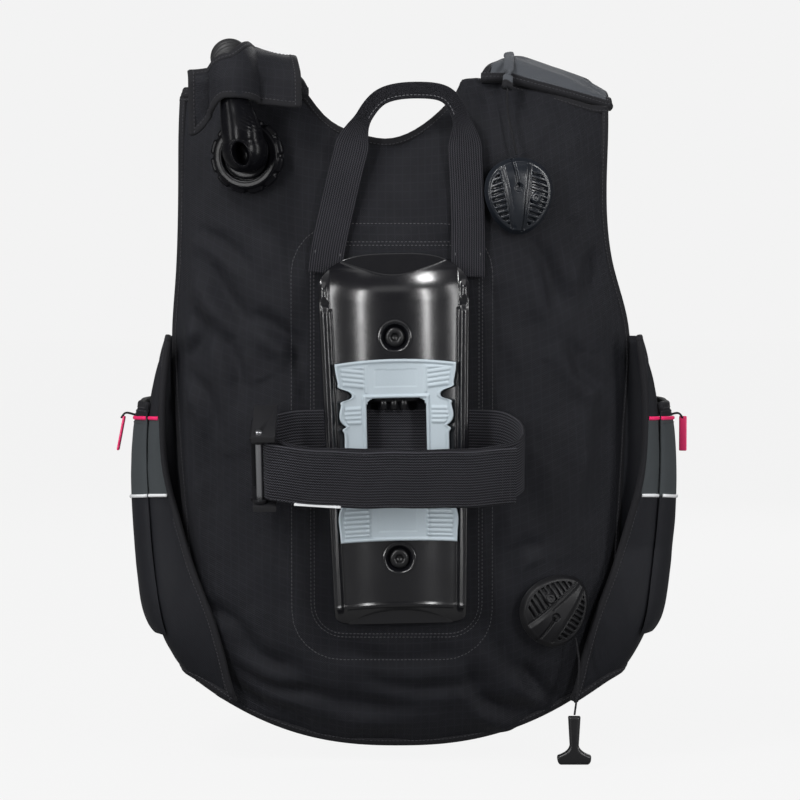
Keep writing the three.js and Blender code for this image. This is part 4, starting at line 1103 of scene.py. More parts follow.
def relief(name, front, rear, keep, material, place=lambda p: p, **how):
    """A closed moulding from two grids of points that face each other. keep says which cells are solid."""
    rows, columns = front.shape[:2]
    count = rows * columns
    points = place(np.vstack([front.reshape(-1, 3), rear.reshape(-1, 3)]))
    padded_keep = np.pad(keep, 1)
    faces = []
    for i, j in np.argwhere(keep):
        a = i * columns + j
        b, c, d = a + 1, a + columns + 1, a + columns
        faces.append((a, b, c, d))
        faces.append((d + count, c + count, b + count, a + count))
        if not padded_keep[i, j + 1]:
            faces.append((b, a, a + count, b + count))
        if not padded_keep[i + 2, j + 1]:
            faces.append((d, c, c + count, d + count))
        if not padded_keep[i + 1, j]:
            faces.append((a, d, d + count, a + count))
        if not padded_keep[i + 1, j + 2]:
            faces.append((c, b, b + count, c + count))
    used = np.unique(np.array(faces))
    renumber = np.full(2 * count, -1)
    renumber[used] = np.arange(len(used))
    faces = renumber[np.array(faces)].tolist()
    uv = points[used][:, [0, 2]]
    return mesh_piece(name, points[used], faces, material, uv, **how)


def revolved(name, profile, seat, material, segments=96, ripple_by=None, closed=False, **how):
    """A profile of (radius, outward) points turned about a seat's axis.

    ripple_by(angle, radius, outward) grows it.
    """
    centre, across, outward, up = seat
    angle = np.linspace(0, 2 * pi, segments, endpoint=False)
    profile = np.asarray(profile, float)
    radius = np.repeat(profile[:, :1], segments, axis=1)
    out = np.repeat(profile[:, 1:], segments, axis=1)
    if ripple_by:
        radius, out = ripple_by(angle[None], radius, out)
    points = (
        centre
        + radius[..., None] * (np.cos(angle)[None, :, None] * across + np.sin(angle)[None, :, None] * up)
        + out[..., None] * outward
    )
    rows = len(profile)
    faces = grid_faces(rows, segments, wrap=True)
    if closed:
        last = (rows - 1) * segments
        faces += [(last + j, last + (j + 1) % segments, (j + 1) % segments, j) for j in range(segments)]
    else:
        faces += [tuple(range(segments))[::-1], tuple(range((rows - 1) * segments, rows * segments))]
    run = np.concatenate([[0], np.cumsum(np.hypot(*np.diff(profile, axis=0).T))])
    uv = np.stack(np.broadcast_arrays(angle[None] * 20, run[:, None]), axis=2)
    return mesh_piece(name, points.reshape(-1, 3), faces, material, uv.reshape(-1, 2), **how)


# ---------------------------------------------------------------- tank plate
TANK_RADIUS = 92
CRADLE_Y = -62
TANK_AXIS_Y = CRADLE_Y - TANK_RADIUS
PLATE_REAR_Y = -51.8
PLATE_FRONT_Y = -81
PLATE_TOP, PLATE_SHOULDER, PLATE_BOTTOM = 164, 132, -161
PLATE_HALF = {"top": 66, "bottom": 58}
SCREW_Z = {"upper": 91, "lower": -103}


def cradle_y(x, radius=TANK_RADIUS):
    return TANK_AXIS_Y + np.sqrt(np.maximum(radius**2 - x**2, 0))


def plate_half(z):
    return lerp(PLATE_HALF["bottom"], PLATE_HALF["top"], np.clip((z + 147) / 279, 0, 1))


def plate_place(s, q):
    """From a square grid to the plate's outline: s across from -1 to 1, q upwards."""
    arch = PLATE_SHOULDER + (PLATE_TOP - PLATE_SHOULDER) * (1 - np.abs(s) ** 3.2) ** 0.55
    past_corner = np.maximum(np.abs(s) - 0.76, 0) / 0.24
    foot = PLATE_BOTTOM + 13 * (1 - np.sqrt(np.clip(1 - past_corner**2, 0, 1)))
    upper = lerp(80, arch, (q - 80) / (PLATE_TOP - 80))
    lower = lerp(foot, -120, (q - PLATE_BOTTOM) / (-120 - PLATE_BOTTOM))
    z = np.where(q > 80, upper, np.where(q < -120, lower, q))
    return s * plate_half(z), z


def plate_front(x, z):
    half = plate_half(z)
    inset = half - np.abs(x)
    y = np.maximum(cradle_y(x), PLATE_FRONT_Y)
    rail = smoothstep(inset, 2.0, 3.6) * (1 - smoothstep(inset, 7.0, 8.6)) * (1 - smoothstep(z, 112, 120))
    rail *= smoothstep(z, -150, -142)
    groove = np.exp(-(((inset - 9.6) / 1.0) ** 2)) * (z < 116) * (z > -146)
    y = y - 2.4 * rail + 1.2 * groove
    lug = np.exp(-(((np.abs(x) - half + 5) / 2.6) ** 4)) * np.exp(-(((z - 131) / 7) ** 4))
    y = y - 2.6 * lug
    y = y + 27 * smoothstep(z, 122, 182) ** 1.2 + 7 * smoothstep(z, 148, 165)
    y = y + np.maximum(-144 - z, 0) * 1.15
    chin = np.exp(-(((z + 144) / 1.5) ** 2))
    y = y - 0.8 * chin * (np.abs(x) < half - 3)
    for screw_z in SCREW_Z.values():
        away = np.hypot(x, z - screw_z)
        y = y - 0.9 * np.exp(-(((away - 13.2) / 1.1) ** 2))
        y = y + (-57.8 - CRADLE_Y) * (1 - smoothstep(away, 8.8, 12.2))
    y = y + 3.2 * (1 - np.sqrt(np.clip(1 - (1 - np.clip(inset / 3.2, 0, 1)) ** 2, 0, 1)))
    return np.minimum(y, PLATE_REAR_Y - 3)


def make_tank_plate():
    s = np.linspace(-1, 1, 171)
    q = np.linspace(PLATE_BOTTOM, PLATE_TOP, 301)
    s, q = np.meshgrid(s, q)
    x, z = plate_place(s, q)
    front = np.stack([x, plate_front(x, z), z], axis=-1)
    rear = np.stack([x, np.full_like(x, PLATE_REAR_Y), z], axis=-1)
    centre_x = 0.25 * (x[:-1, :-1] + x[1:, :-1] + x[:-1, 1:] + x[1:, 1:])
    centre_z = 0.25 * (z[:-1, :-1] + z[1:, :-1] + z[:-1, 1:] + z[1:, 1:])
    window = (np.abs(centre_x) < 26) & (np.abs(centre_z) < 38)
    plate = relief("tank_plate_shell", front, rear, ~window, GLOSS, leaned, slot="gloss_plastic")
    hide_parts("tank_plate")
    ribs = []
    for x in (-11, -2, 7):
        path = [leaned((x, -57.5, z)) for z in (37.6, 33, 28)]
        ribs.append(sweep(f"window_rib_{len(ribs)}", path, [(0, -1, 0)] * 3, round_profile(6, 5, 12), SATIN))
    bar = [leaned((x, -56, 37.8)) for x in (-25, -10, 10, 25)]
    ribs.append(sweep("window_bar", bar, [(0, -1, 0)] * 4, round_profile(7, 8, 12), SATIN))
    joined("plate_window_ribs", ribs)
    return plate


make_tank_plate()

# ---------------------------------------------------------------- grip pad
PAD_BACK_RADIUS = 91.6
PAD_TOP, PAD_BOTTOM = 69, -87
pad_half = graded([
    (-88, 50.5), (-80, 51), (-56, 49.5), (-52, 47), (-49, 41), (-45, 40.5), (-42, 46), (-38, 46.4),
    (-20, 45.6), (0, 45.5), (8, 45.6), (12.5, 46.4), (14, 44), (16, 46.2), (33, 48), (36, 47.5),
    (38, 41), (41.5, 38.8), (45, 42), (48, 49.5), (52, 50.3), (68, 52.6), (74, 52.4),
])


def rib_rows(z, first, pitch, count, width=1.7):
    """1 on level ribs, and 0 between them."""
    height = np.zeros_like(z)
    for k in range(count):
        height = np.maximum(height, np.exp(-(((z - first - k * pitch) / width) ** 4)))
    return height


def pad_relief(x, z):
    """How far the pad's ribs and rim stand out of it."""
    half = pad_half(z)
    edge = half - np.abs(x)
    top_edge = PAD_TOP + 3 * (1 - (x / 52) ** 2) - z
    edge = np.minimum(np.minimum(edge, top_edge), z - PAD_BOTTOM)
    in_window = np.maximum(np.abs(x) - 26, np.abs(z) - 38)
    edge = np.minimum(edge, np.maximum(in_window, 0))
    rim = smoothstep(edge, -0.2, 0.9) * (1 - smoothstep(edge, 2.2, 3.2))
    inside = smoothstep(edge, 4.2, 5.2)
    wide = smoothstep(np.abs(x), 27.2, 28.4)
    slanted = z + 0.14 * (50 - np.abs(x))
    upper = rib_rows(slanted, 51.6, 4.1, 5) * wide * (z > 44)
    column = rib_rows(z, 17.5, 3.9, 4, 1.5) * smoothstep(np.abs(x), 30, 31) * (z < 33) * (z > 13)
    lower_column = rib_rows(z, -33, 3.9, 4, 1.5) * smoothstep(np.abs(x), 30, 31) * (z > -38) * (z < -16)
    foot = rib_rows(z, -82, 4.1, 8) * smoothstep(np.abs(x), 24.5, 25.5) * (z < -44)
    ribs = np.maximum(np.maximum(upper, column), np.maximum(foot, lower_column)) * inside
    frame_line = np.exp(-(((np.abs(x) - 26) / 0.9) ** 2)) * ((z > 43) | (z < -43)) * inside
    upper_label = np.maximum(np.abs(x) / 19, np.abs(z - 55.5) / 7.5) < 1
    lower_label = np.maximum(np.abs(x) / 17, np.abs(z + 66) / 13) < 1
    label = upper_label | lower_label
    return 1.5 * rim + 1.35 * ribs + 0.9 * frame_line - 0.35 * label


def make_grip_pad():
    inner = np.linspace(-26, 26, 53)
    outer = np.linspace(0, 1, 31)[1:]
    z_values = np.concatenate([
        np.linspace(PAD_BOTTOM, -38, 75), np.linspace(-38, 38, 96)[1:], np.linspace(38, PAD_TOP, 49)[1:],
    ])
    z = np.repeat(z_values[:, None], len(inner) + 2 * len(outer), axis=1)
    half = pad_half(z_values)[:, None]
    wing = 26 + outer[None] * (half - 26)
    x = np.hstack([-wing[:, ::-1], np.repeat(inner[None], len(z_values), axis=0), wing])
    arch = 3 * (1 - (x / 52) ** 2)
    z = z + arch * smoothstep(z, 38, PAD_TOP)
    front_y = cradle_y(x, PAD_BACK_RADIUS - 2.6) - pad_relief(x, z)
    front = np.stack([x, front_y, z], axis=-1)
    rear = np.stack([x, cradle_y(x, PAD_BACK_RADIUS) - 0.1, z], axis=-1)
    corner = 7
    centre_x = 0.5 * (x[:-1, :-1] + x[1:, 1:])
    centre_z = 0.5 * (z[:-1, :-1] + z[1:, 1:])
    over = np.maximum(np.abs(centre_x) - (26 - corner), 0), np.maximum(np.abs(centre_z) - (38 - corner), 0)
    window = (np.abs(centre_x) < 26) & (np.abs(centre_z) < 38) & (np.hypot(*over) < corner)
    pad = relief("tank_grip_pad_rubber", front, rear, ~window, GRIP_GREY, leaned, slot="grip_rubber")
    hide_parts("tank_grip_pad")
    return pad


make_grip_pad()


def plate_seat(z, y):
    return leaned((0, y, z)), np.array([1.0, 0, 0]), np.array([0, -1.0, 0]), np.array([0, 0, 1.0])


def make_plate_screws():
    for which, z in SCREW_Z.items():
        seat = plate_seat(z, 0)
        hexagon = lambda angle, r, out: (
            np.where(r < 3.6, r / np.cos((angle % (pi / 3)) - pi / 6) * 0.93, r),
            out,
        )
        head = [
            (0.05, 59.0), (3.4, 59.0), (3.5, 61.2), (4.2, 61.9), (6.4, 61.8), (7.7, 61.2),
            (8.3, 60.2), (8.4, 58.0),
        ]
        screw = revolved(f"plate_screw_{which}_head", head, seat, SATIN, 72, hexagon, slot="steel")
        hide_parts(f"plate_screw_{which}")


make_plate_screws()

# ---------------------------------------------------------------- dump valves
EGG_HALF_WIDTH, EGG_HALF_HEIGHT = 30, 33.5


def egg(angle):
    """The egg-shaped outline of a dump valve's cover."""
    narrow = 1 + 0.16 * np.sin(angle)
    return EGG_HALF_WIDTH * np.cos(angle) * narrow, EGG_HALF_HEIGHT * np.sin(angle)


def bar_edge(z, high, low):
    """Sideways place of a slanting line through (x, z) points high and low."""
    return low[0] + (high[0] - low[0]) * (z - low[1]) / (high[1] - low[1])


def valve_bar_edges(z):
    """The two slanting sides of the bar down the middle of a valve cover."""
    return bar_edge(z, (-17.5, 28.7), (-5, -31.3)), bar_edge(z, (9.4, 27.6), (3.2, -31.3))


def grille_depth(x, z):
    """How deep the slots, the cord slit and the seam of a dump valve's grille are cut, and what stands up."""
    left_edge, right_edge = valve_bar_edges(z)
    to_rib = np.where(x < 0.5 * (left_edge + right_edge), left_edge - x, x - right_edge)
    radius = np.hypot(x / (30 * (1 + 0.16 * np.clip(z / 33.5, -1, 1))), z / 33.5)
    slanted = z + 0.29 * np.abs(x)
    phase = ((slanted + 23.5) / 5.0) % 1.0
    bar = smoothstep(phase, 0.02, 0.14) * (1 - smoothstep(phase, 0.5, 0.62))
    rows = (slanted > -24) & (slanted < 24)
    open_zone = smoothstep(to_rib, 2.0, 3.0) * (1 - smoothstep(radius, 0.79, 0.84)) * rows
    stud_away = np.hypot(x - 13.4, z + 1.6)
    open_zone = open_zone * smoothstep(stud_away, 4.6, 5.2)
    slots = 3.4 * bar * open_zone
    trench = 0.9 * np.exp(-(((to_rib - 0.9) / 0.7) ** 2)) * (radius < 0.9)
    slit_x = np.where(z > 7.4, bar_edge(z, (-6.5, 32.6), (-1.7, 7.4)), 1e3)
    slit = 2.2 * np.exp(-(((x - slit_x) / 1.3) ** 4))
    from_seam = (x - bar_edge(z, (3.5, 7.4), (0.8, -31)) - 1.2) / 0.6
    seam = 1.4 * np.exp(-(from_seam**2)) * (z < 5) * (radius < 0.93)
    well = 2.0 * (1 - smoothstep(np.hypot(x + 1.7, z - 7.0), 2.6, 4.2))
    stud = 1.5 * (1 - smoothstep(stud_away, 3.4, 4.4)) - 0.9 * (1 - smoothstep(stud_away, 1.4, 2.2))
    return slots + trench + slit + seam + well - stud


def make_valve_cover(name, seat, turn_degrees, material):
    rings, segments = 110, 300
    share = np.linspace(0, 1, rings)[:, None] ** 0.85
    angle = np.linspace(0, 2 * pi, segments, endpoint=False)[None]
    ex, ez = egg(angle)
    x, z = share * ex, share * ez
    dome = 15.5 - 9.5 * share**3.2 - 1.6 * smoothstep(share, 0.93, 1.0)
    rim = 0.7 * np.exp(-(((share - 0.9) / 0.03) ** 2))
    left_edge, right_edge = valve_bar_edges(z)
    rib_rise = 1.6 * smoothstep(-np.maximum(left_edge - x, x - right_edge), 0.2, 3.5)
    rib_rise = rib_rise * (1 - smoothstep(share, 0.86, 0.97))
    out = dome + rim + rib_rise - grille_depth(x, z) * (share < 0.985)
    centre, across, outward, up = seat
    turn = radians(turn_degrees)
    wide = cos(turn) * across - sin(turn) * up
    tall = cos(turn) * up + sin(turn) * across
    points = centre + x[..., None] * wide + z[..., None] * tall + out[..., None] * outward
    skirt = points[-1] - (out[-1] - 3.6)[:, None] * outward
    floor = centre + 0.9 * (skirt - centre - 3.6 * outward) + 3.6 * outward
    grid = np.vstack([points[1:].reshape(-1, 3), skirt, floor])
    rows = rings + 1
    faces = grid_faces(rows, segments, wrap=True)
    faces += [tuple(range(segments))[::-1], tuple(range((rows - 1) * segments, rows * segments))]
    cover = mesh_piece(f"{name}_grille", grid, faces, material, grid[:, [0, 2]], slot="gloss_plastic")
    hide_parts(f"{name}_cover")
    return cover


def make_valve_base(name, seat):
    profile = [
        (19.2, 3.0), (27.4, 3.0), (28.0, 2.6), (28.0, 0.7), (27.4, 0.4), (22.3, 0.4), (22.3, -12.6),
        (20.5, -12.8), (19.2, -12.4),
    ]
    base = revolved(f"{name}_seat_ring", profile, seat, MATT, closed=True, slot="matt_plastic")
    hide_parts(f"{name}_base")


make_valve_cover("upper_dump", SEATS["upper_dump"], 0, SMOKE)
make_valve_cover("lower_dump", SEATS["lower_dump"], -135, MATT)
make_valve_base("upper_dump", SEATS["upper_dump"])
make_valve_base("lower_dump", SEATS["lower_dump"])

# ---------------------------------------------------------------- inflator elbow
RING_LOBES = 12


def scalloped(angle, radius, out):
    """Twelve finger notches round the lock ring."""
    wave = np.cos(RING_LOBES * angle)
    notch = smoothstep(wave, 0.45, 1.0)
    outer = smoothstep(radius, 28.5, 32.5)
    return radius - 1.7 * notch * outer, out - 1.6 * notch * outer * (out > 6)


def make_lock_ring():
    profile = [
        (22.6, 3.6), (32.4, 3.6), (33.0, 4.4), (33.0, 9.2), (32.5, 10.0), (31.4, 10.5),
        (29.8, 10.8), (29.2, 11.2), (28.6, 12.6), (28.0, 13.3), (26.6, 13.7), (24.6, 13.2),
        (23.4, 13.5), (22.2, 13.6), (21.6, 13.1), (21.5, 12.3), (22.5, 12.1),
    ]
    ring = revolved("elbow_lock_ring_rim", profile, SEATS["elbow"], ELBOW_BLACK, 240, scalloped, True,
                    body="lock_ring", slot="matt_plastic")
    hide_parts("elbow_lock_ring")


def make_elbow():
    centre, across, outward, up = SEATS["elbow"]
    route = Path([
        (-132, -72, 254), (-133.5, -71, 264), (-136.5, -69.5, 277), (-139.5, -67, 290), (-141, -64.5, 303),
    ])
    points, _ = route.even(2.5)
    neck_radius = graded([(0, 13), (0.12, 17.4), (0.25, 18), (0.48, 16.4), (0.78, 13.8), (1, 13)])
    radii = neck_radius(np.linspace(0, 1, len(points)))
    neck = sweep("elbow_neck", points, [outward] * len(points), round_profile(2, 2, 40, 2), GLOSS,
                 sizes=np.stack([radii, radii], axis=1))
    ball_profile = [(0.1, 48.4)] + [
        (19.6 * sin(a), 29 + 19.4 * cos(a)) for a in np.linspace(0.15, pi * 0.72, 22)
    ] + [(17.4, 14), (17.4, 7), (0.1, 7)]
    ball_centre = centre + 4 * across + 4 * up
    ball = revolved("elbow_ball", ball_profile, (ball_centre, across, outward, up), GLOSS, 72)
    rim_seat = (centre, across, outward, up)
    rim_profile = [(0.1, 9), (20.6, 9), (20.9, 9.6), (20.9, 11.4), (20.4, 12), (0.1, 12)]
    rim = revolved("elbow_rim", rim_profile, rim_seat, GLOSS, 72)
    body = joined("inflator_elbow_shell", [neck, ball, rim])
    remesh = body.modifiers.new("skin", "REMESH")
    remesh.mode = "VOXEL"
    remesh.voxel_size = 0.8 * MM
    apply_modifiers(body)
    smooth = body.modifiers.new("smooth", "SMOOTH")
    smooth.factor = 0.5
    smooth.iterations = 26
    apply_modifiers(body)
    hollow_elbow(body, ball_centre, across, outward, up)
    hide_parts("inflator_elbow")
    body.data.materials.clear()
    body.data.materials.append(ELBOW_BLACK)
    body.data.polygons.foreach_set("use_smooth", [True] * len(body.data.polygons))


def hollow_elbow(body, centre, across, outward, up):
    """The oval opening on the elbow's front, and the fine steps down its right flank."""
    subdivide(body)
    points, normals = get_points(body), get_normals(body)
    flat = points - centre
    x, z, out = flat @ across, flat @ up, flat @ outward
    tilt = radians(14)
    ox, oz = x - 1.5, z + 3.5
    ax, az = ox * cos(tilt) + oz * sin(tilt), oz * cos(tilt) - ox * sin(tilt)
    oval = np.hypot(ax / 7.2, az / 10.4)
    facing = smoothstep(normals @ outward, 0.1, 0.5) * (out > 20)
    floor = 29 + 5 * oval**2
    sink = np.minimum(floor - out, 0) * (1 - smoothstep(oval, 0.82, 1.0)) * facing
    lip = 0.7 * np.exp(-(((oval - 1.13) / 0.1) ** 2)) * facing
    points = points + sink[:, None] * outward + lip[:, None] * normals
    flank = smoothstep(x, -3, 6) * smoothstep(z, 12, 18) * (1 - smoothstep(z, 46, 52))
    steps = 0.5 - 0.5 * np.cos(2 * pi * (z + 0.55 * x) / 2.9)
    points = points + (0.16 * flank * steps)[:, None] * normals
    set_points(body, points)


def make_elbow_flange():
    profile = [(22.2, 0.4), (30.4, 0.4), (31.0, 0.9), (31.0, 2.5), (30.5, 3.0), (22.2, 3.0), (22.0, 6.0),
               (18.2, 6.0),
               (18.2, -11.8), (21.8, -11.8)]
    flange = revolved("elbow_flange_ring", profile, SEATS["elbow"], MATT, closed=True, slot="matt_plastic")
    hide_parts("elbow_flange")


make_lock_ring()
make_elbow()
make_elbow_flange()

# ---------------------------------------------------------------- hose and its cover
HOSE_PATH = Path([
    (-141, -64, 305.5), (-141.5, -60, 318), (-145, -42, 332), (-149, 0, 337.5), (-151, 60, 339),
    (-151, 106, 336), (-150, 150, 314), (-148, 180, 270), (-147, 194, 222), (-146, 201, 165),
    (-146, 210, 110),
])
HOSE_RADIUS = 17
HOSE_PITCH = 6.2


def make_hose():
    points, tangents = HOSE_PATH.even(HOSE_PITCH / 8)
    run = np.arange(len(points)) * HOSE_PITCH / 8
    wave = 0.5 + 0.5 * np.cos(2 * pi * run / HOSE_PITCH)
    radius = HOSE_RADIUS - 3.0 * (1 - wave**0.6)
    cuff = np.minimum(run, run[-1] - run)
    radius = np.where(cuff < 12, HOSE_RADIUS - 1.2, radius)
    normals = np.cross(tangents, np.array([1.0, 0, 0]))
    hose = sweep("corrugated_hose_wall", points, normals, round_profile(2, 2, 40, 2), RUBBER,
                 sizes=np.stack([radius, radius], axis=1), slot="black_rubber")
    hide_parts("corrugated_hose")


FLAP_REACH = {"neck": 57, "arm": 39}
FLAP_LENGTH_SHARE = {"hose": 0.125, "neck": 0.33}
neck_skirt = graded([(0, -32), (0.15, -27), (0.4, -9), (1, -4)])
arm_skirt = graded([(0, -12), (0.4, -6), (1, -6)])


def flap_middle(u, v):
    reach = HOSE_RADIUS + 3.6
    across = lerp(FLAP_REACH["neck"], -FLAP_REACH["arm"], u)
    end_share = lerp(FLAP_LENGTH_SHARE["hose"], FLAP_LENGTH_SHARE["neck"], smoothstep(across, -4, 40))
    along = lerp(0.012, end_share, v)
    tangent = HOSE_PATH.tangent(along)
    outward = unit(np.stack([0 * v, -tangent[..., 2], tangent[..., 1]], axis=-1))
    over_hose = np.sqrt(np.maximum(reach**2 - across**2, 0))
    neck_lift = lerp(15, neck_skirt(v), across / FLAP_REACH["neck"])
    arm_lift = lerp(11, arm_skirt(v), -across / FLAP_REACH["arm"])
    skirt = np.where(across > 0, neck_lift, arm_lift)
    lift = np.logaddexp(over_hose / 2.5, skirt / 2.5) * 2.5
    spot = HOSE_PATH.at(along)
    drop = 13 + 27 * smoothstep(-across, 8, 38) + 3 * smoothstep(across, 20, 56)
    hang = (1 - smoothstep(v, 0, 0.34)) * drop
    place = spot + across[..., None] * np.array([1.0, 0, 0]) + lift[..., None] * outward
    place[..., 2] -= hang
    place[..., 1] += 0.1 * hang
    return place


def make_flap():
    sheet = Sheet(flap_middle, lambda u, v: 1.2 + 0 * u, 81, 61)
    flap = sheet.make("hose_cover_flap_cloth", FABRIC, slot="air_cell_fabric")
    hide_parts("hose_cover_flap")
    points, normals = get_points(flap), get_normals(flap)
    push = 1.0 * ripple(points, (26, 30, 26), 41)
    set_points(flap, points + push[:, None] * np.sign(normals[:, 1:2] * -1) * np.array([0, -1.0, 0.0]))
    width = float(np.ptp(sheet.uv[..., 0], axis=1).mean())
    length = float(np.ptp(sheet.uv[..., 1], axis=0).mean())
    return sheet


make_hose()
flap_sheet = make_flap()

# ---------------------------------------------------------------- webbing
WEBBING_THICKNESS = 2.6
HANDLE_PATH = Path([
    (-63, -49.9, 146), (-60, -49.9, 168), (-53, -50.6, 200), (-42, -51, 246), (-33, -51, 275),
    (-14, -52, 300), (20, -52, 306), (44, -52, 301), (56, -51, 280), (60, -50.8, 240),
    (62, -50.6, 190), (62, -49.9, 168), (62, -49.9, 143),
])
STRAND_WIDTH = 29.5
GRIP_WIDTH, GRIP_THICKNESS = 14.5, 8.6


def make_handle():
    points, tangents = HANDLE_PATH.even(1.6)
    share = np.linspace(0, 1, len(points))
    in_grip = smoothstep(share, 0.29, 0.37) * (1 - smoothstep(share, 0.63, 0.71))
    width = lerp(STRAND_WIDTH, GRIP_WIDTH, in_grip)
    thickness = lerp(WEBBING_THICKNESS, GRIP_THICKNESS, in_grip)
    thickness = thickness + 0.5 * np.sin(points[:, 2] / 9) * in_grip
    normals = np.tile([0, -1.0, 0], (len(points), 1))
    sizes = np.stack([width / STRAND_WIDTH, thickness / WEBBING_THICKNESS], axis=1)
    profile = ribbed_profile(STRAND_WIDTH, WEBBING_THICKNESS, 14, 0.25)
    handle = sweep("carry_handle_webbing", points, normals, profile, WEBBING, sizes, slot="webbing")
    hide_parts("carry_handle")
    front = points + 0.5 * thickness[:, None] * np.array([0, -1.0, 0])
    across = unit(np.cross(tangents, normals))
    grip = in_grip > 0.98
    rows = [(front[grip] + 0.3 * GRIP_WIDTH * across[grip], normals[grip])]
    for top in (0.05, 0.95):
        near = np.abs(share - top) < 0.012
        for offset in (-11, 11):
            rows.append((front[near] + offset * across[near] - np.array([0, 0.2, 0]), normals[near]))
    stitches("carry_handle_thread", rows, PALE_THREAD, slot="webbing")


BAND_REAR_Y, BAND_FRONT_Y = -50, -126
BAND_DROP = 28.3
BUCKLE_TILT = radians(23)
BAND_WIDTH = 54
BAND_LOOP = [
    (-116, -62.5), (-104, -58.5), (-90, -52), (-70, BAND_REAR_Y), (0, BAND_REAR_Y),
    (70, BAND_REAR_Y), (92, -54), (107, -74), (108, -96), (95, -112), (50, -121), (-20, -122),
    (-84, -115), (-102, -104.8), (-110, -103.8), (-113.6, -108.3), (-110, -112.8), (-102, -116),
    (-84, -121), (-20, -127.5), (50, -126.5), (102, -118.5),
]


def lean_band(points):
    forward = (BAND_REAR_Y - points[:, 1]) / (BAND_REAR_Y - BAND_FRONT_Y)
    tilt = smoothstep(forward, 0.2, 0.72) * BUCKLE_TILT
    above = points[:, 2]
    y = points[:, 1] - above * np.sin(tilt)
    z = above * np.cos(tilt) - BAND_DROP * np.maximum(forward, 0)
    return np.stack([points[:, 0], y, z], axis=1)


def make_tank_band():
    points, tangents = Path([(x, y, 0) for x, y in BAND_LOOP]).even(1.8)
    normals = np.cross(tangents, np.array([0, 0, 1.0]))
    profile = ribbed_profile(BAND_WIDTH, WEBBING_THICKNESS, 21, 0.22)
    band = sweep("tank_band_webbing", points, normals, profile, BAND_WEBBING, slot="webbing")
    level = get_points(band)
    run = np.concatenate([[0], np.cumsum(np.linalg.norm(np.diff(points, axis=0), axis=1))])
    sag = 0.8 * np.sin(run / 19) + 0.5 * np.sin(run / 7.3)
    level[:, 2] += np.repeat(sag, len(profile)) * (level[:, 1] < -80) * 0.6
    set_points(band, lean_band(level))
    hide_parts("tank_band")
    tail = points[:, 1] < -112
    tail &= np.arange(len(points)) > 0.62 * len(points)
    rows = []
    for height in (-24.5, 24.5):
        row = points[tail] + np.array([0, 0, height])
        row[:, 1] -= 0.5 * WEBBING_THICKNESS + 0.3
        rows.append((lean_band(row), np.tile([0, -1.0, 0.3], (len(row), 1))))
    for x in (90, 97):
        row = np.array([(x, -121.4 - 0.22 * (95 - x), z) for z in np.linspace(-24, 24, 26)])
        rows.append((lean_band(row), np.tile([0, -1.0, 0.3], (len(row), 1))))
    stitches("tank_band_thread", rows, THREAD, slot="webbing")
    strip = np.array([
        (x, lerp(-120.2, -125.6, (x + 88) / 40) - 1.6, -25.8) for x in np.linspace(-88, -48, 15)
    ])
    facing = np.tile([0, -1.0, 0.4], (15, 1))
    tag_profile = round_profile(3.4, 0.9, 10, 4)
    sweep("tank_band_tag", lean_band(strip), facing, tag_profile, WHITE_PIPING, slot="webbing")


def strap(name, points, normals, width, body="vest"):
    ribs = max(7, int(width / 3))
    profile = ribbed_profile(width, WEBBING_THICKNESS, ribs, 0.35)
    piece = sweep(f"{name}_webbing", points, normals, profile, WEBBING, body=body, slot="webbing")
    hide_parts(name)
    return piece


# Each front strap: its width, its height, where it lies at its buckle and outside, and its two inner ends.
FRONT_STRAPS = {
    "chest": (25, 198, 186, 176, 100, {LEFT: -17, RIGHT: 36}),
    "waist": (50, -58, 212, 206, 150, {LEFT: -24, RIGHT: 52}),
}


def make_front_straps():
    for name, (width, z, y, rest_y, outer_x, ends) in FRONT_STRAPS.items():
        for side_name, side in SIDES.items():
            start = ends[side]
            middle_y = lerp(y, rest_y, 0.6)
            path = Path([
                (start, y, z), (start + side * 12, y, z), (side * 78, middle_y, z),
                (side * outer_x, rest_y, z),
            ])
            points, tangents = path.even(2.5)
            normals = side * np.cross(np.array([0, 0, 1.0]), tangents)
            body = f"{name}_plug" if side == LEFT else "vest"
            strap(f"{side_name}_{name}_strap", points, normals, width, body)


SHOULDER_STRAP_X = {"left": -98, "right": 122}


def make_shoulder_straps():
    for name, x in SHOULDER_STRAP_X.items():
        path = Path([(x, 180, 178), (x, 182, 146), (x, 189, 116), (x, 197, 80), (x, 204, 44), (x, 204.5, 4)])
        points, tangents = path.even(2.5)
        normals = np.cross(tangents, np.array([1.0, 0, 0]))
        strap(f"{name}_shoulder_strap", points, normals, 38)


make_handle()
make_tank_band()
make_front_straps()
make_shoulder_straps()

# ---------------------------------------------------------------- pads on the wearer's side
PAD_WIDTH, PAD_HEIGHT, PAD_CORNER, PAD_CENTRE_Z = 190, 350, 40, 25


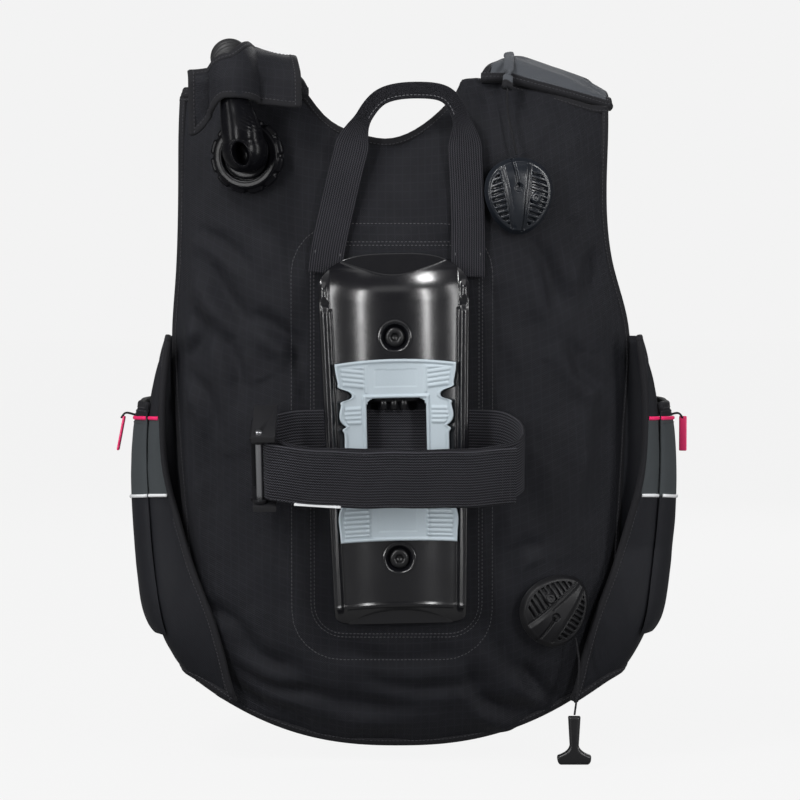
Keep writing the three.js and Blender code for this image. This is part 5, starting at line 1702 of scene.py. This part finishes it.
def make_back_pad():
    pad_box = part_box("back_pad")
    rear_y, front_y = pad_box[0][1] / MM, pad_box[1][1] / MM
    s, q = np.meshgrid(np.linspace(-1, 1, 105), np.linspace(-1, 1, 181))
    over = np.maximum(np.abs(q) * PAD_HEIGHT / 2 - (PAD_HEIGHT / 2 - PAD_CORNER), 0)
    half = PAD_WIDTH / 2 - PAD_CORNER + np.sqrt(np.maximum(PAD_CORNER**2 - over**2, 0))
    x, z = s * half, PAD_CENTRE_Z + q * PAD_HEIGHT / 2
    inset = np.minimum((1 - np.abs(s)) * half, (1 - np.abs(q)) * PAD_HEIGHT / 2)
    roll = 3.5 * (1 - smoothstep(inset, 0, 9))
    channel = np.minimum(np.abs((z - PAD_CENTRE_Z + 24) % 48 - 24), np.abs(np.abs(x) - 12))
    quilt = 2.2 * np.exp(-((channel / 3.2) ** 2)) * smoothstep(inset, 9, 16)
    border = 1.8 * np.exp(-(((inset - 11) / 2.4) ** 2))
    wearer_y = front_y - roll - quilt - border
    nut_room = np.zeros_like(x)
    for screw_z in SCREW_Z.values():
        nut_room = np.maximum(nut_room, 1 - smoothstep(np.hypot(x - 2, z - screw_z), 11.5, 14.5))
    back = rear_y + roll + 5.5 * nut_room
    front = np.stack([x, back, z], axis=-1)
    rear = np.stack([x, wearer_y, z], axis=-1)
    pad = relief("back_pad_foam", front, rear, np.ones((180, 104), bool), PAD_MESH, slot="pad_fabric")
    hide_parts("back_pad")


def cummerbund_middle(side):
    lap = 8 if side == RIGHT else 0
    path = Path([
        (side * 112, -9, 0), (side * 160, 20, 0), (side * 184, 62, 0), (side * 178, 112, 0),
        (side * 140, 146, 0), (side * 70, 156 + lap, 0), (side * -20, 158 + lap, 0),
    ])

    def middle(u, v):
        spot = path.at(u)
        return np.stack([spot[..., 0], spot[..., 1], lerp(-120, 0, v) + 0 * u], axis=-1)

    return middle


def make_cummerbund(name, side):
    quilt = lambda u, v: 1 - 0.35 * np.exp(-((((v * 4) % 1 - 0.5) / 0.09) ** 2))
    half = lambda u, v: 3.4 * (0.35 + 0.65 * sheet_pillow(u, v)) * quilt(u, v)
    sheet = Sheet(cummerbund_middle(side), half, 121, 81)
    pad = sheet.make(f"{name}_cummerbund_pad", PAD_MESH, slot="pad_fabric")
    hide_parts(f"{name}_cummerbund")
    return sheet


make_back_pad()
cummerbunds = {name: make_cummerbund(name, side) for name, side in SIDES.items()}


# ---------------------------------------------------------------- inner walls between the back and the lobes
def make_inner_wall(name, side):
    def middle(u, v):
        z = lerp(-204, 90, v)
        edge = (panel_left(z) if side == LEFT else panel_right(z)) - 9
        start = np.stack([side * edge, back_y(edge, z) - 1, z], axis=-1)
        end = along_lobe(side, 0.13, z)
        spot = lerp(start, end, u[..., None])
        spot[..., 1] += 7 * np.sin(pi * u) + 5 * u
        return spot

    sheet = Sheet(middle, lambda u, v: 1.0 + 0 * u, 9, 41)
    wall = sheet.make(f"{name}_lobe_inner_wall", SMOOTH_FABRIC, slot="air_cell_fabric")
    width = float(np.ptp(sheet.uv[..., 0], axis=1).mean())
    height = float(np.ptp(sheet.uv[..., 1], axis=0).mean())


for side_name, side in SIDES.items():
    make_inner_wall(side_name, side)

# ---------------------------------------------------------------- binding tape, seams and piping
TAPE_WIDTH, TAPE_THICKNESS = 7.6, 5.8


def bind(name, sheet, edges, outside, width=TAPE_WIDTH, thickness=TAPE_THICKNESS):
    """Tape folded over a sheet's edges, with stitches on its outside (1 or -1 of the sheet's normal)."""
    tapes, rows = [], []
    profile = round_profile(width, thickness, 14, 3)
    for which in edges:
        border, normals, inward = sheet.edge(which, 2)
        centre = border + inward * (0.5 * width - 1.2)
        tapes.append(sweep(f"{name}_{which}_tape", centre, normals, profile, BINDING))
        row = border + inward * (width - 3) + outside * normals * (0.5 * thickness - 0.05)
        rows.append((row, outside * normals))
    joined(f"{name}_binding", tapes)
    stitches(f"{name}_binding_thread", rows, slot="webbing")


bind("back_air_cell", back_sheet, ("bottom", "top", "left", "right"), 1)
for side_name, side in SIDES.items():
    bind(f"{side_name}_yoke", yokes[side_name][0], ("left", "right", "top"), side, thickness=7.4)
    bind(f"{side_name}_lobe", lobes[side_name][0], ("left", "bottom", "top", "right"), side)
    bind(f"{side_name}_pocket", pockets[side_name][0], ("top", "right"), side, thickness=5.2)
    bind(f"{side_name}_cummerbund", cummerbunds[side_name], ("top", "bottom", "right"), side, thickness=4.4)


def make_seam_tape(name, side):
    """The tape over the seam between a yoke and the back."""
    border, normals, inward = yokes[name][0].edge("bottom", 2)
    sweep(f"{name}_shoulder_seam_tape", border - 1.8 * inward, normals, round_profile(9.5, 7.2, 16, 3),
          BINDING, slot="webbing")
    rows = [(border + offset * inward + 3.5 * side * normals, side * normals) for offset in (-4.4, 0.8)]
    stitches(f"{name}_shoulder_seam_thread", rows, slot="webbing")


for side_name, side in SIDES.items():
    make_seam_tape(side_name, side)
bind("hose_flap", flap_sheet, ("bottom", "top", "left", "right"), -1, width=7, thickness=3.8)


def rounded_frame(left, right, bottom, top, corner):
    """A closed line of flat points round a rectangle with rounded corners."""
    turns = [(right - corner, top - corner, 0), (left + corner, top - corner, 90),
             (left + corner, bottom + corner, 180), (right - corner, bottom + corner, 270)]
    points = []
    for x, z, start in turns:
        for step in range(0, 91, 15):
            angle = radians(start + step)
            points.append((x + corner * cos(angle), z + corner * sin(angle)))
    points.append(points[0])
    return even_line(points, 2)


def make_back_seams():
    tree = surface_tree(back_panel)
    frames = [rounded_frame(-73, 72, -172, 171, 26), rounded_frame(-76, 75, -175, 174, 29),
              rounded_frame(-93, 84, -196, 190, 44)]
    rows = [projected(tree, line, (0, 1, 0), 0.1) for line in frames]
    stitches("back_seams", rows, PALE_THREAD, length=2.2, width=0.5, slot="air_cell_fabric")


def laid_round(tree, sheet, z_of, outside, lift):
    """Where a level line lies on the outside of a swollen sheet."""
    spots, normals = [], []
    for j in range(sheet.columns):
        column = sheet.middle[:, j]
        i = int(np.argmin(np.abs(column[:, 2] - z_of(column))))
        out = outside * sheet.normal[i, j]
        spot, *_ = tree.ray_cast(Vector(column[i] + 40 * out), Vector(-out))
        if spot is not None:
            spots.append(np.array(spot) + lift * out)
            normals.append(out)
    return np.array(spots), np.array(normals)


def make_pocket_piping(name, side):
    sheet, pocket = pockets[name]
    tree = surface_tree(pocket)
    lobe_sheet, lobe = lobes[name]
    lobe_tree = surface_tree(lobe)
    for label, z_of, material, size in (
        ("pink", pocket_seam_top, PINK_PIPING, 3.4), ("white", pocket_seam_bottom, WHITE_PIPING, 3.0),
    ):
        spots, normals = laid_round(tree, sheet, z_of, side, 0.5)
        spots[:, 2] = np.linspace(*z_of(spots[[0, -1]]), len(spots))
        profile = round_profile(size, size * 0.8, 12, 2)
        sweep(f"{name}_pocket_{label}_piping", spots, normals, profile, material, slot="pocket_fabric")
        spots, normals = laid_round(lobe_tree, lobe_sheet, z_of, side, 0.4)
        behind = spots[:, 1] < 20
        behind[:2] = False
        spots, normals = spots[behind], normals[behind]
        spots[:, 2] = z_of(spots)
        sweep(f"{name}_lobe_{label}_piping", spots, normals, profile, material, slot="pocket_fabric")
    lines = []
    for drop in (5, -5):
        spots, normals = laid_round(tree, sheet, lambda p: pocket_seam_top(p) + drop, side, 0.2)
        lines.append((spots, normals))
    stitches(f"{name}_pocket_thread", lines, slot="pocket_fabric")


make_back_seams()
for side_name, side in SIDES.items():
    make_pocket_piping(side_name, side)


# ---------------------------------------------------------------- small hard parts
def refined(node, material, bevel, slot, body="vest", segments=3):
    """A CAD node's own solid with rounded edges."""
    piece = bpy.data.objects.new(f"{node}_moulding", frame["nodes"][node].data.copy())
    bpy.context.collection.objects.link(piece)
    edit = bmesh.new()
    edit.from_mesh(piece.data)
    bmesh.ops.remove_doubles(edit, verts=edit.verts, dist=1e-6)
    bmesh.ops.recalc_face_normals(edit, faces=edit.faces)
    bmesh.ops.dissolve_limit(edit, angle_limit=radians(1), verts=edit.verts, edges=edit.edges)
    edit.to_mesh(piece.data)
    edit.free()
    rounding = piece.modifiers.new("rounding", "BEVEL")
    rounding.width = bevel * MM
    rounding.segments = segments
    rounding.angle_limit = radians(28)
    apply_modifiers(piece)
    piece.data.materials.clear()
    piece.data.materials.append(material)
    layer = piece.data.uv_layers.get("UVMap") or piece.data.uv_layers.new(name="UVMap")
    corner = np.empty(len(piece.data.loops), int)
    piece.data.loops.foreach_get("vertex_index", corner)
    points = get_points(piece)
    flat = np.stack([points[:, 0] + points[:, 1], points[:, 2]], axis=1)
    layer.data.foreach_set("uv", (flat[corner] * MM).astype(np.float32).ravel())
    for face in piece.data.polygons:
        face.use_smooth = True
        face.material_index = 0
    piece.data.set_sharp_from_angle(angle=radians(32))
    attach(piece, body)
    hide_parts(node)
    return piece


# Each small part: its material, its edge radius, its slot and its body.
SMALL_PARTS = {
    "cam_buckle_frame": (SATIN, 2.2, "matt_plastic", "vest"),
    "cam_buckle_lever": (MATT, 1.0, "matt_plastic", "buckle_lever"),
    "cam_buckle_pin": (STEEL, 0.8, "steel", "vest"),
    "chest_buckle_socket": (MATT, 1.6, "matt_plastic", "vest"),
    "chest_buckle_plug": (MATT, 1.0, "matt_plastic", "chest_plug"),
    "waist_buckle_socket": (MATT, 1.8, "matt_plastic", "vest"),
    "waist_buckle_plug": (MATT, 1.2, "matt_plastic", "waist_plug"),
    "left_shoulder_buckle": (MATT, 1.4, "matt_plastic", "vest"),
    "right_shoulder_buckle": (MATT, 1.4, "matt_plastic", "vest"),
    "left_d_ring": (STEEL, 1.2, "steel", "left_d_ring"),
    "right_d_ring": (STEEL, 1.2, "steel", "right_d_ring"),
    "left_zip_pull": (PINK, 1.0, "pink_pull", "left_zip_pull"),
    "right_zip_pull": (PINK, 1.0, "pink_pull", "right_zip_pull"),
    "inflator_body": (MATT, 2.2, "matt_plastic", "vest"),
    "inflate_button": (GLOSS, 1.2, "gloss_plastic", "inflate_button"),
    "deflate_button": (GLOSS, 1.2, "gloss_plastic", "deflate_button"),
    "inflator_mouthpiece": (RUBBER, 1.2, "black_rubber", "vest"),
    "lower_dump_toggle": (SATIN, 2.4, "black_rubber", "lower_toggle"),
    "upper_dump_knob": (RUBBER, 1.2, "black_rubber", "upper_knob"),
    "hose_keeper": (BINDING, 0.7, "webbing", "vest"),
}


def make_zip_pull_cord(side_name, side):
    """The short loop of cord between a zip pull tab and the pocket's zip."""
    low, high = (np.array(corner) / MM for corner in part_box(f"{side_name}_zip_pull"))
    top = np.array([0.5 * (low[0] + high[0]), 0.5 * (low[1] + high[1]), high[2] - 2])
    inner = top + np.array([-side * 13, 0, 3])
    for offset, label in ((-1.6, "rear"), (1.6, "front")):
        shift = np.array([0, offset, 0])
        path = Path([top + 0.3 * shift, top + shift + np.array([-side * 4, 0, 4.5]), inner + shift])
        loop = tube(f"{side_name}_zip_cord_{label}", path, 0.9, CORD, sides=10, spacing=1.0, body=None,
                    slot="cord")
        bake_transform(loop)


for side_name, side in SIDES.items():
    make_zip_pull_cord(side_name, side)
small_parts = {
    node: refined(node, material, bevel, slot, body)
    for node, (material, bevel, slot, body) in SMALL_PARTS.items()
}


def make_spring(prefix):
    """A CAD spring with rounded edges, in a mesh of its own."""
    spring = refined(f"{prefix}_dump_spring", STEEL, 0.12, "steel", segments=1)
    joint = next(j for j in frame["joints"] if j["name"] == f"{prefix}_poppet_lift")
    axis = unit(np.array(joint["axis"], float))
    points = get_points(spring)
    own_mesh(spring)


for prefix in ("upper", "lower"):
    make_spring(prefix)

# ---------------------------------------------------------------- pull cords
CORD_RADIUS = 0.9
UPPER_CORD = [
    (104.5, -50, 250), (101, -49, 266), (97, -41, 288), (97, -34, 310), (99, -6, 330),
    (101, 34, 348), (101, 74, 353), (101, 110, 349), (99, 146, 316), (96, 166, 272), (92, 184, 236),
    (89, 190.5, 205), (88, 190, 172),
]
LOWER_CORD = [(158, -38, -176), (161, -40, -196), (160, -42, -220), (157, -43, -244)]


def laid_on(tree, route, gap, picks):
    """A route whose picked points are brought down onto a surface."""
    result = [tuple(point) for point in route]
    for k in picks:
        spot, normal, _, _ = tree.find_nearest(Vector(route[k]))
        result[k] = tuple(np.array(spot + gap * normal))
    return result


def make_cord(name, route, held_from):
    path = Path(route)
    cord = tube(f"{name}_braid", path, CORD_RADIUS, CORD, sides=12, spacing=1.0, body=None, slot="cord")
    points, _ = path.even(1.0)
    length = float(np.linalg.norm(np.diff(points, axis=0), axis=1).sum())
    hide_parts(name)
    tuple(np.array(route[held_from]) * MM)
    tuple(np.array(route[-1]) * MM)
    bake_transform(cord)


shoulder_tree = surface_tree(yokes["right"][1])
UPPER_CORD = laid_on(shoulder_tree, UPPER_CORD, CORD_RADIUS + 1.2, (4, 5, 6, 7, 8, 9))
make_cord("upper_dump_cord", UPPER_CORD, -4)


def make_cord_sleeve():
    """The grey sleeve that keeps the upper cord down on the shoulder, with its black end tab."""
    path = Path(UPPER_CORD)
    points, _ = path.even(2)
    over = points[(points[:, 2] > 308) & (points[:, 1] < 80)]
    normals = np.array([np.array(shoulder_tree.find_nearest(Vector(point))[1]) for point in over])
    sleeve = sweep("cord_sleeve_cloth", over, normals, round_profile(9, 4.8, 14, 2.6), GREY_FABRIC)
    tab = sweep("cord_sleeve_tab", over[:4], normals[:4], round_profile(10.4, 5.8, 14, 3), BINDING)
    return joined("upper_cord_sleeve", [sleeve, tab])


make_cord_sleeve()
make_cord("lower_dump_cord", LOWER_CORD, 0)

# ---------------------------------------------------------------- finishes of the hidden solids
SLOT_FINISH = {
    "air_cell_fabric": FABRIC, "pad_fabric": PAD_MESH, "pocket_fabric": SMOOTH_FABRIC, "webbing": BINDING,
    "cord": CORD, "gloss_plastic": GLOSS, "matt_plastic": MATT, "black_rubber": RUBBER,
    "grip_rubber": GRIP_GREY,
    "pink_pull": PINK, "steel": STEEL,
}
for node in frame["nodes"].values():
    for place, old in enumerate(node.data.materials):
        node.data.materials[place] = SLOT_FINISH.get(old.name.split(".")[0], MATT)



# ---------------------------------------------------------------- stage
def make_stage():
    size = 12
    mesh = bpy.data.meshes.new("floor")
    z = cad_box[0][2] - 0.004
    corners = [(-size, -size, z), (size, -size, z), (size, size, z), (-size, size, z)]
    mesh.from_pydata(corners, [], [(0, 1, 2, 3)])
    mesh.materials.append(pale("pale_floor", (0.03, 0.03, 0.03), 0.888))
    floor = bpy.data.objects.new("floor", mesh)
    bpy.context.collection.objects.link(floor)


def make_world():
    world = bpy.data.worlds.new("studio")
    bpy.context.scene.world = world
    world.use_nodes = True
    tree = world.node_tree
    background = tree.nodes["Background"]
    background.inputs["Color"].default_value = (0.896, 0.896, 0.896, 1)
    path = tree.nodes.new("ShaderNodeLightPath")
    strength = tree.nodes.new("ShaderNodeMapRange")
    strength.inputs["To Min"].default_value = 0.1
    strength.inputs["To Max"].default_value = 1.0
    tree.links.new(path.outputs["Is Camera Ray"], strength.inputs["Value"])
    tree.links.new(strength.outputs["Result"], background.inputs["Strength"])


# Each light: where it hangs in metres, its width and height, and its power in watts.
SOFTBOXES = {
    "key": ((-0.95, -1.0, 1.75), (0.45, 0.45), 22),
    "left_strip": ((-1.75, -0.75, 0.3), (0.3, 1.6), 10),
    "right_strip": ((1.75, -0.6, 0.5), (0.3, 1.4), 12),
    "left_glint": ((-1.15, -1.75, 0.55), (0.2, 1.2), 17),
    "right_glint": ((1.2, -1.75, 0.6), (0.2, 1.2), 16),
    "upper_front": ((0.15, -2.3, 1.6), (1.8, 0.7), 2.5),
    "overhead": ((0, -0.3, 1.9), (1.6, 1.0), 4),
    "wearer_side": ((0.5, 2.2, 1.0), (1.2, 1.2), 18),
}


def make_lights():
    for name, (place, size, power) in SOFTBOXES.items():
        data = bpy.data.lights.new(name, "AREA")
        data.shape = "RECTANGLE"
        data.size, data.size_y = size
        data.energy = power
        light = bpy.data.objects.new(name, data)
        light.location = place
        light.rotation_euler = (Vector(place) - VIEW_TARGET).to_track_quat("Z", "Y").to_euler()
        bpy.context.collection.objects.link(light)


make_stage()
make_world()
make_lights()
bpy.context.scene.view_settings.view_transform = "Standard"

bpy.context.view_layer.update()
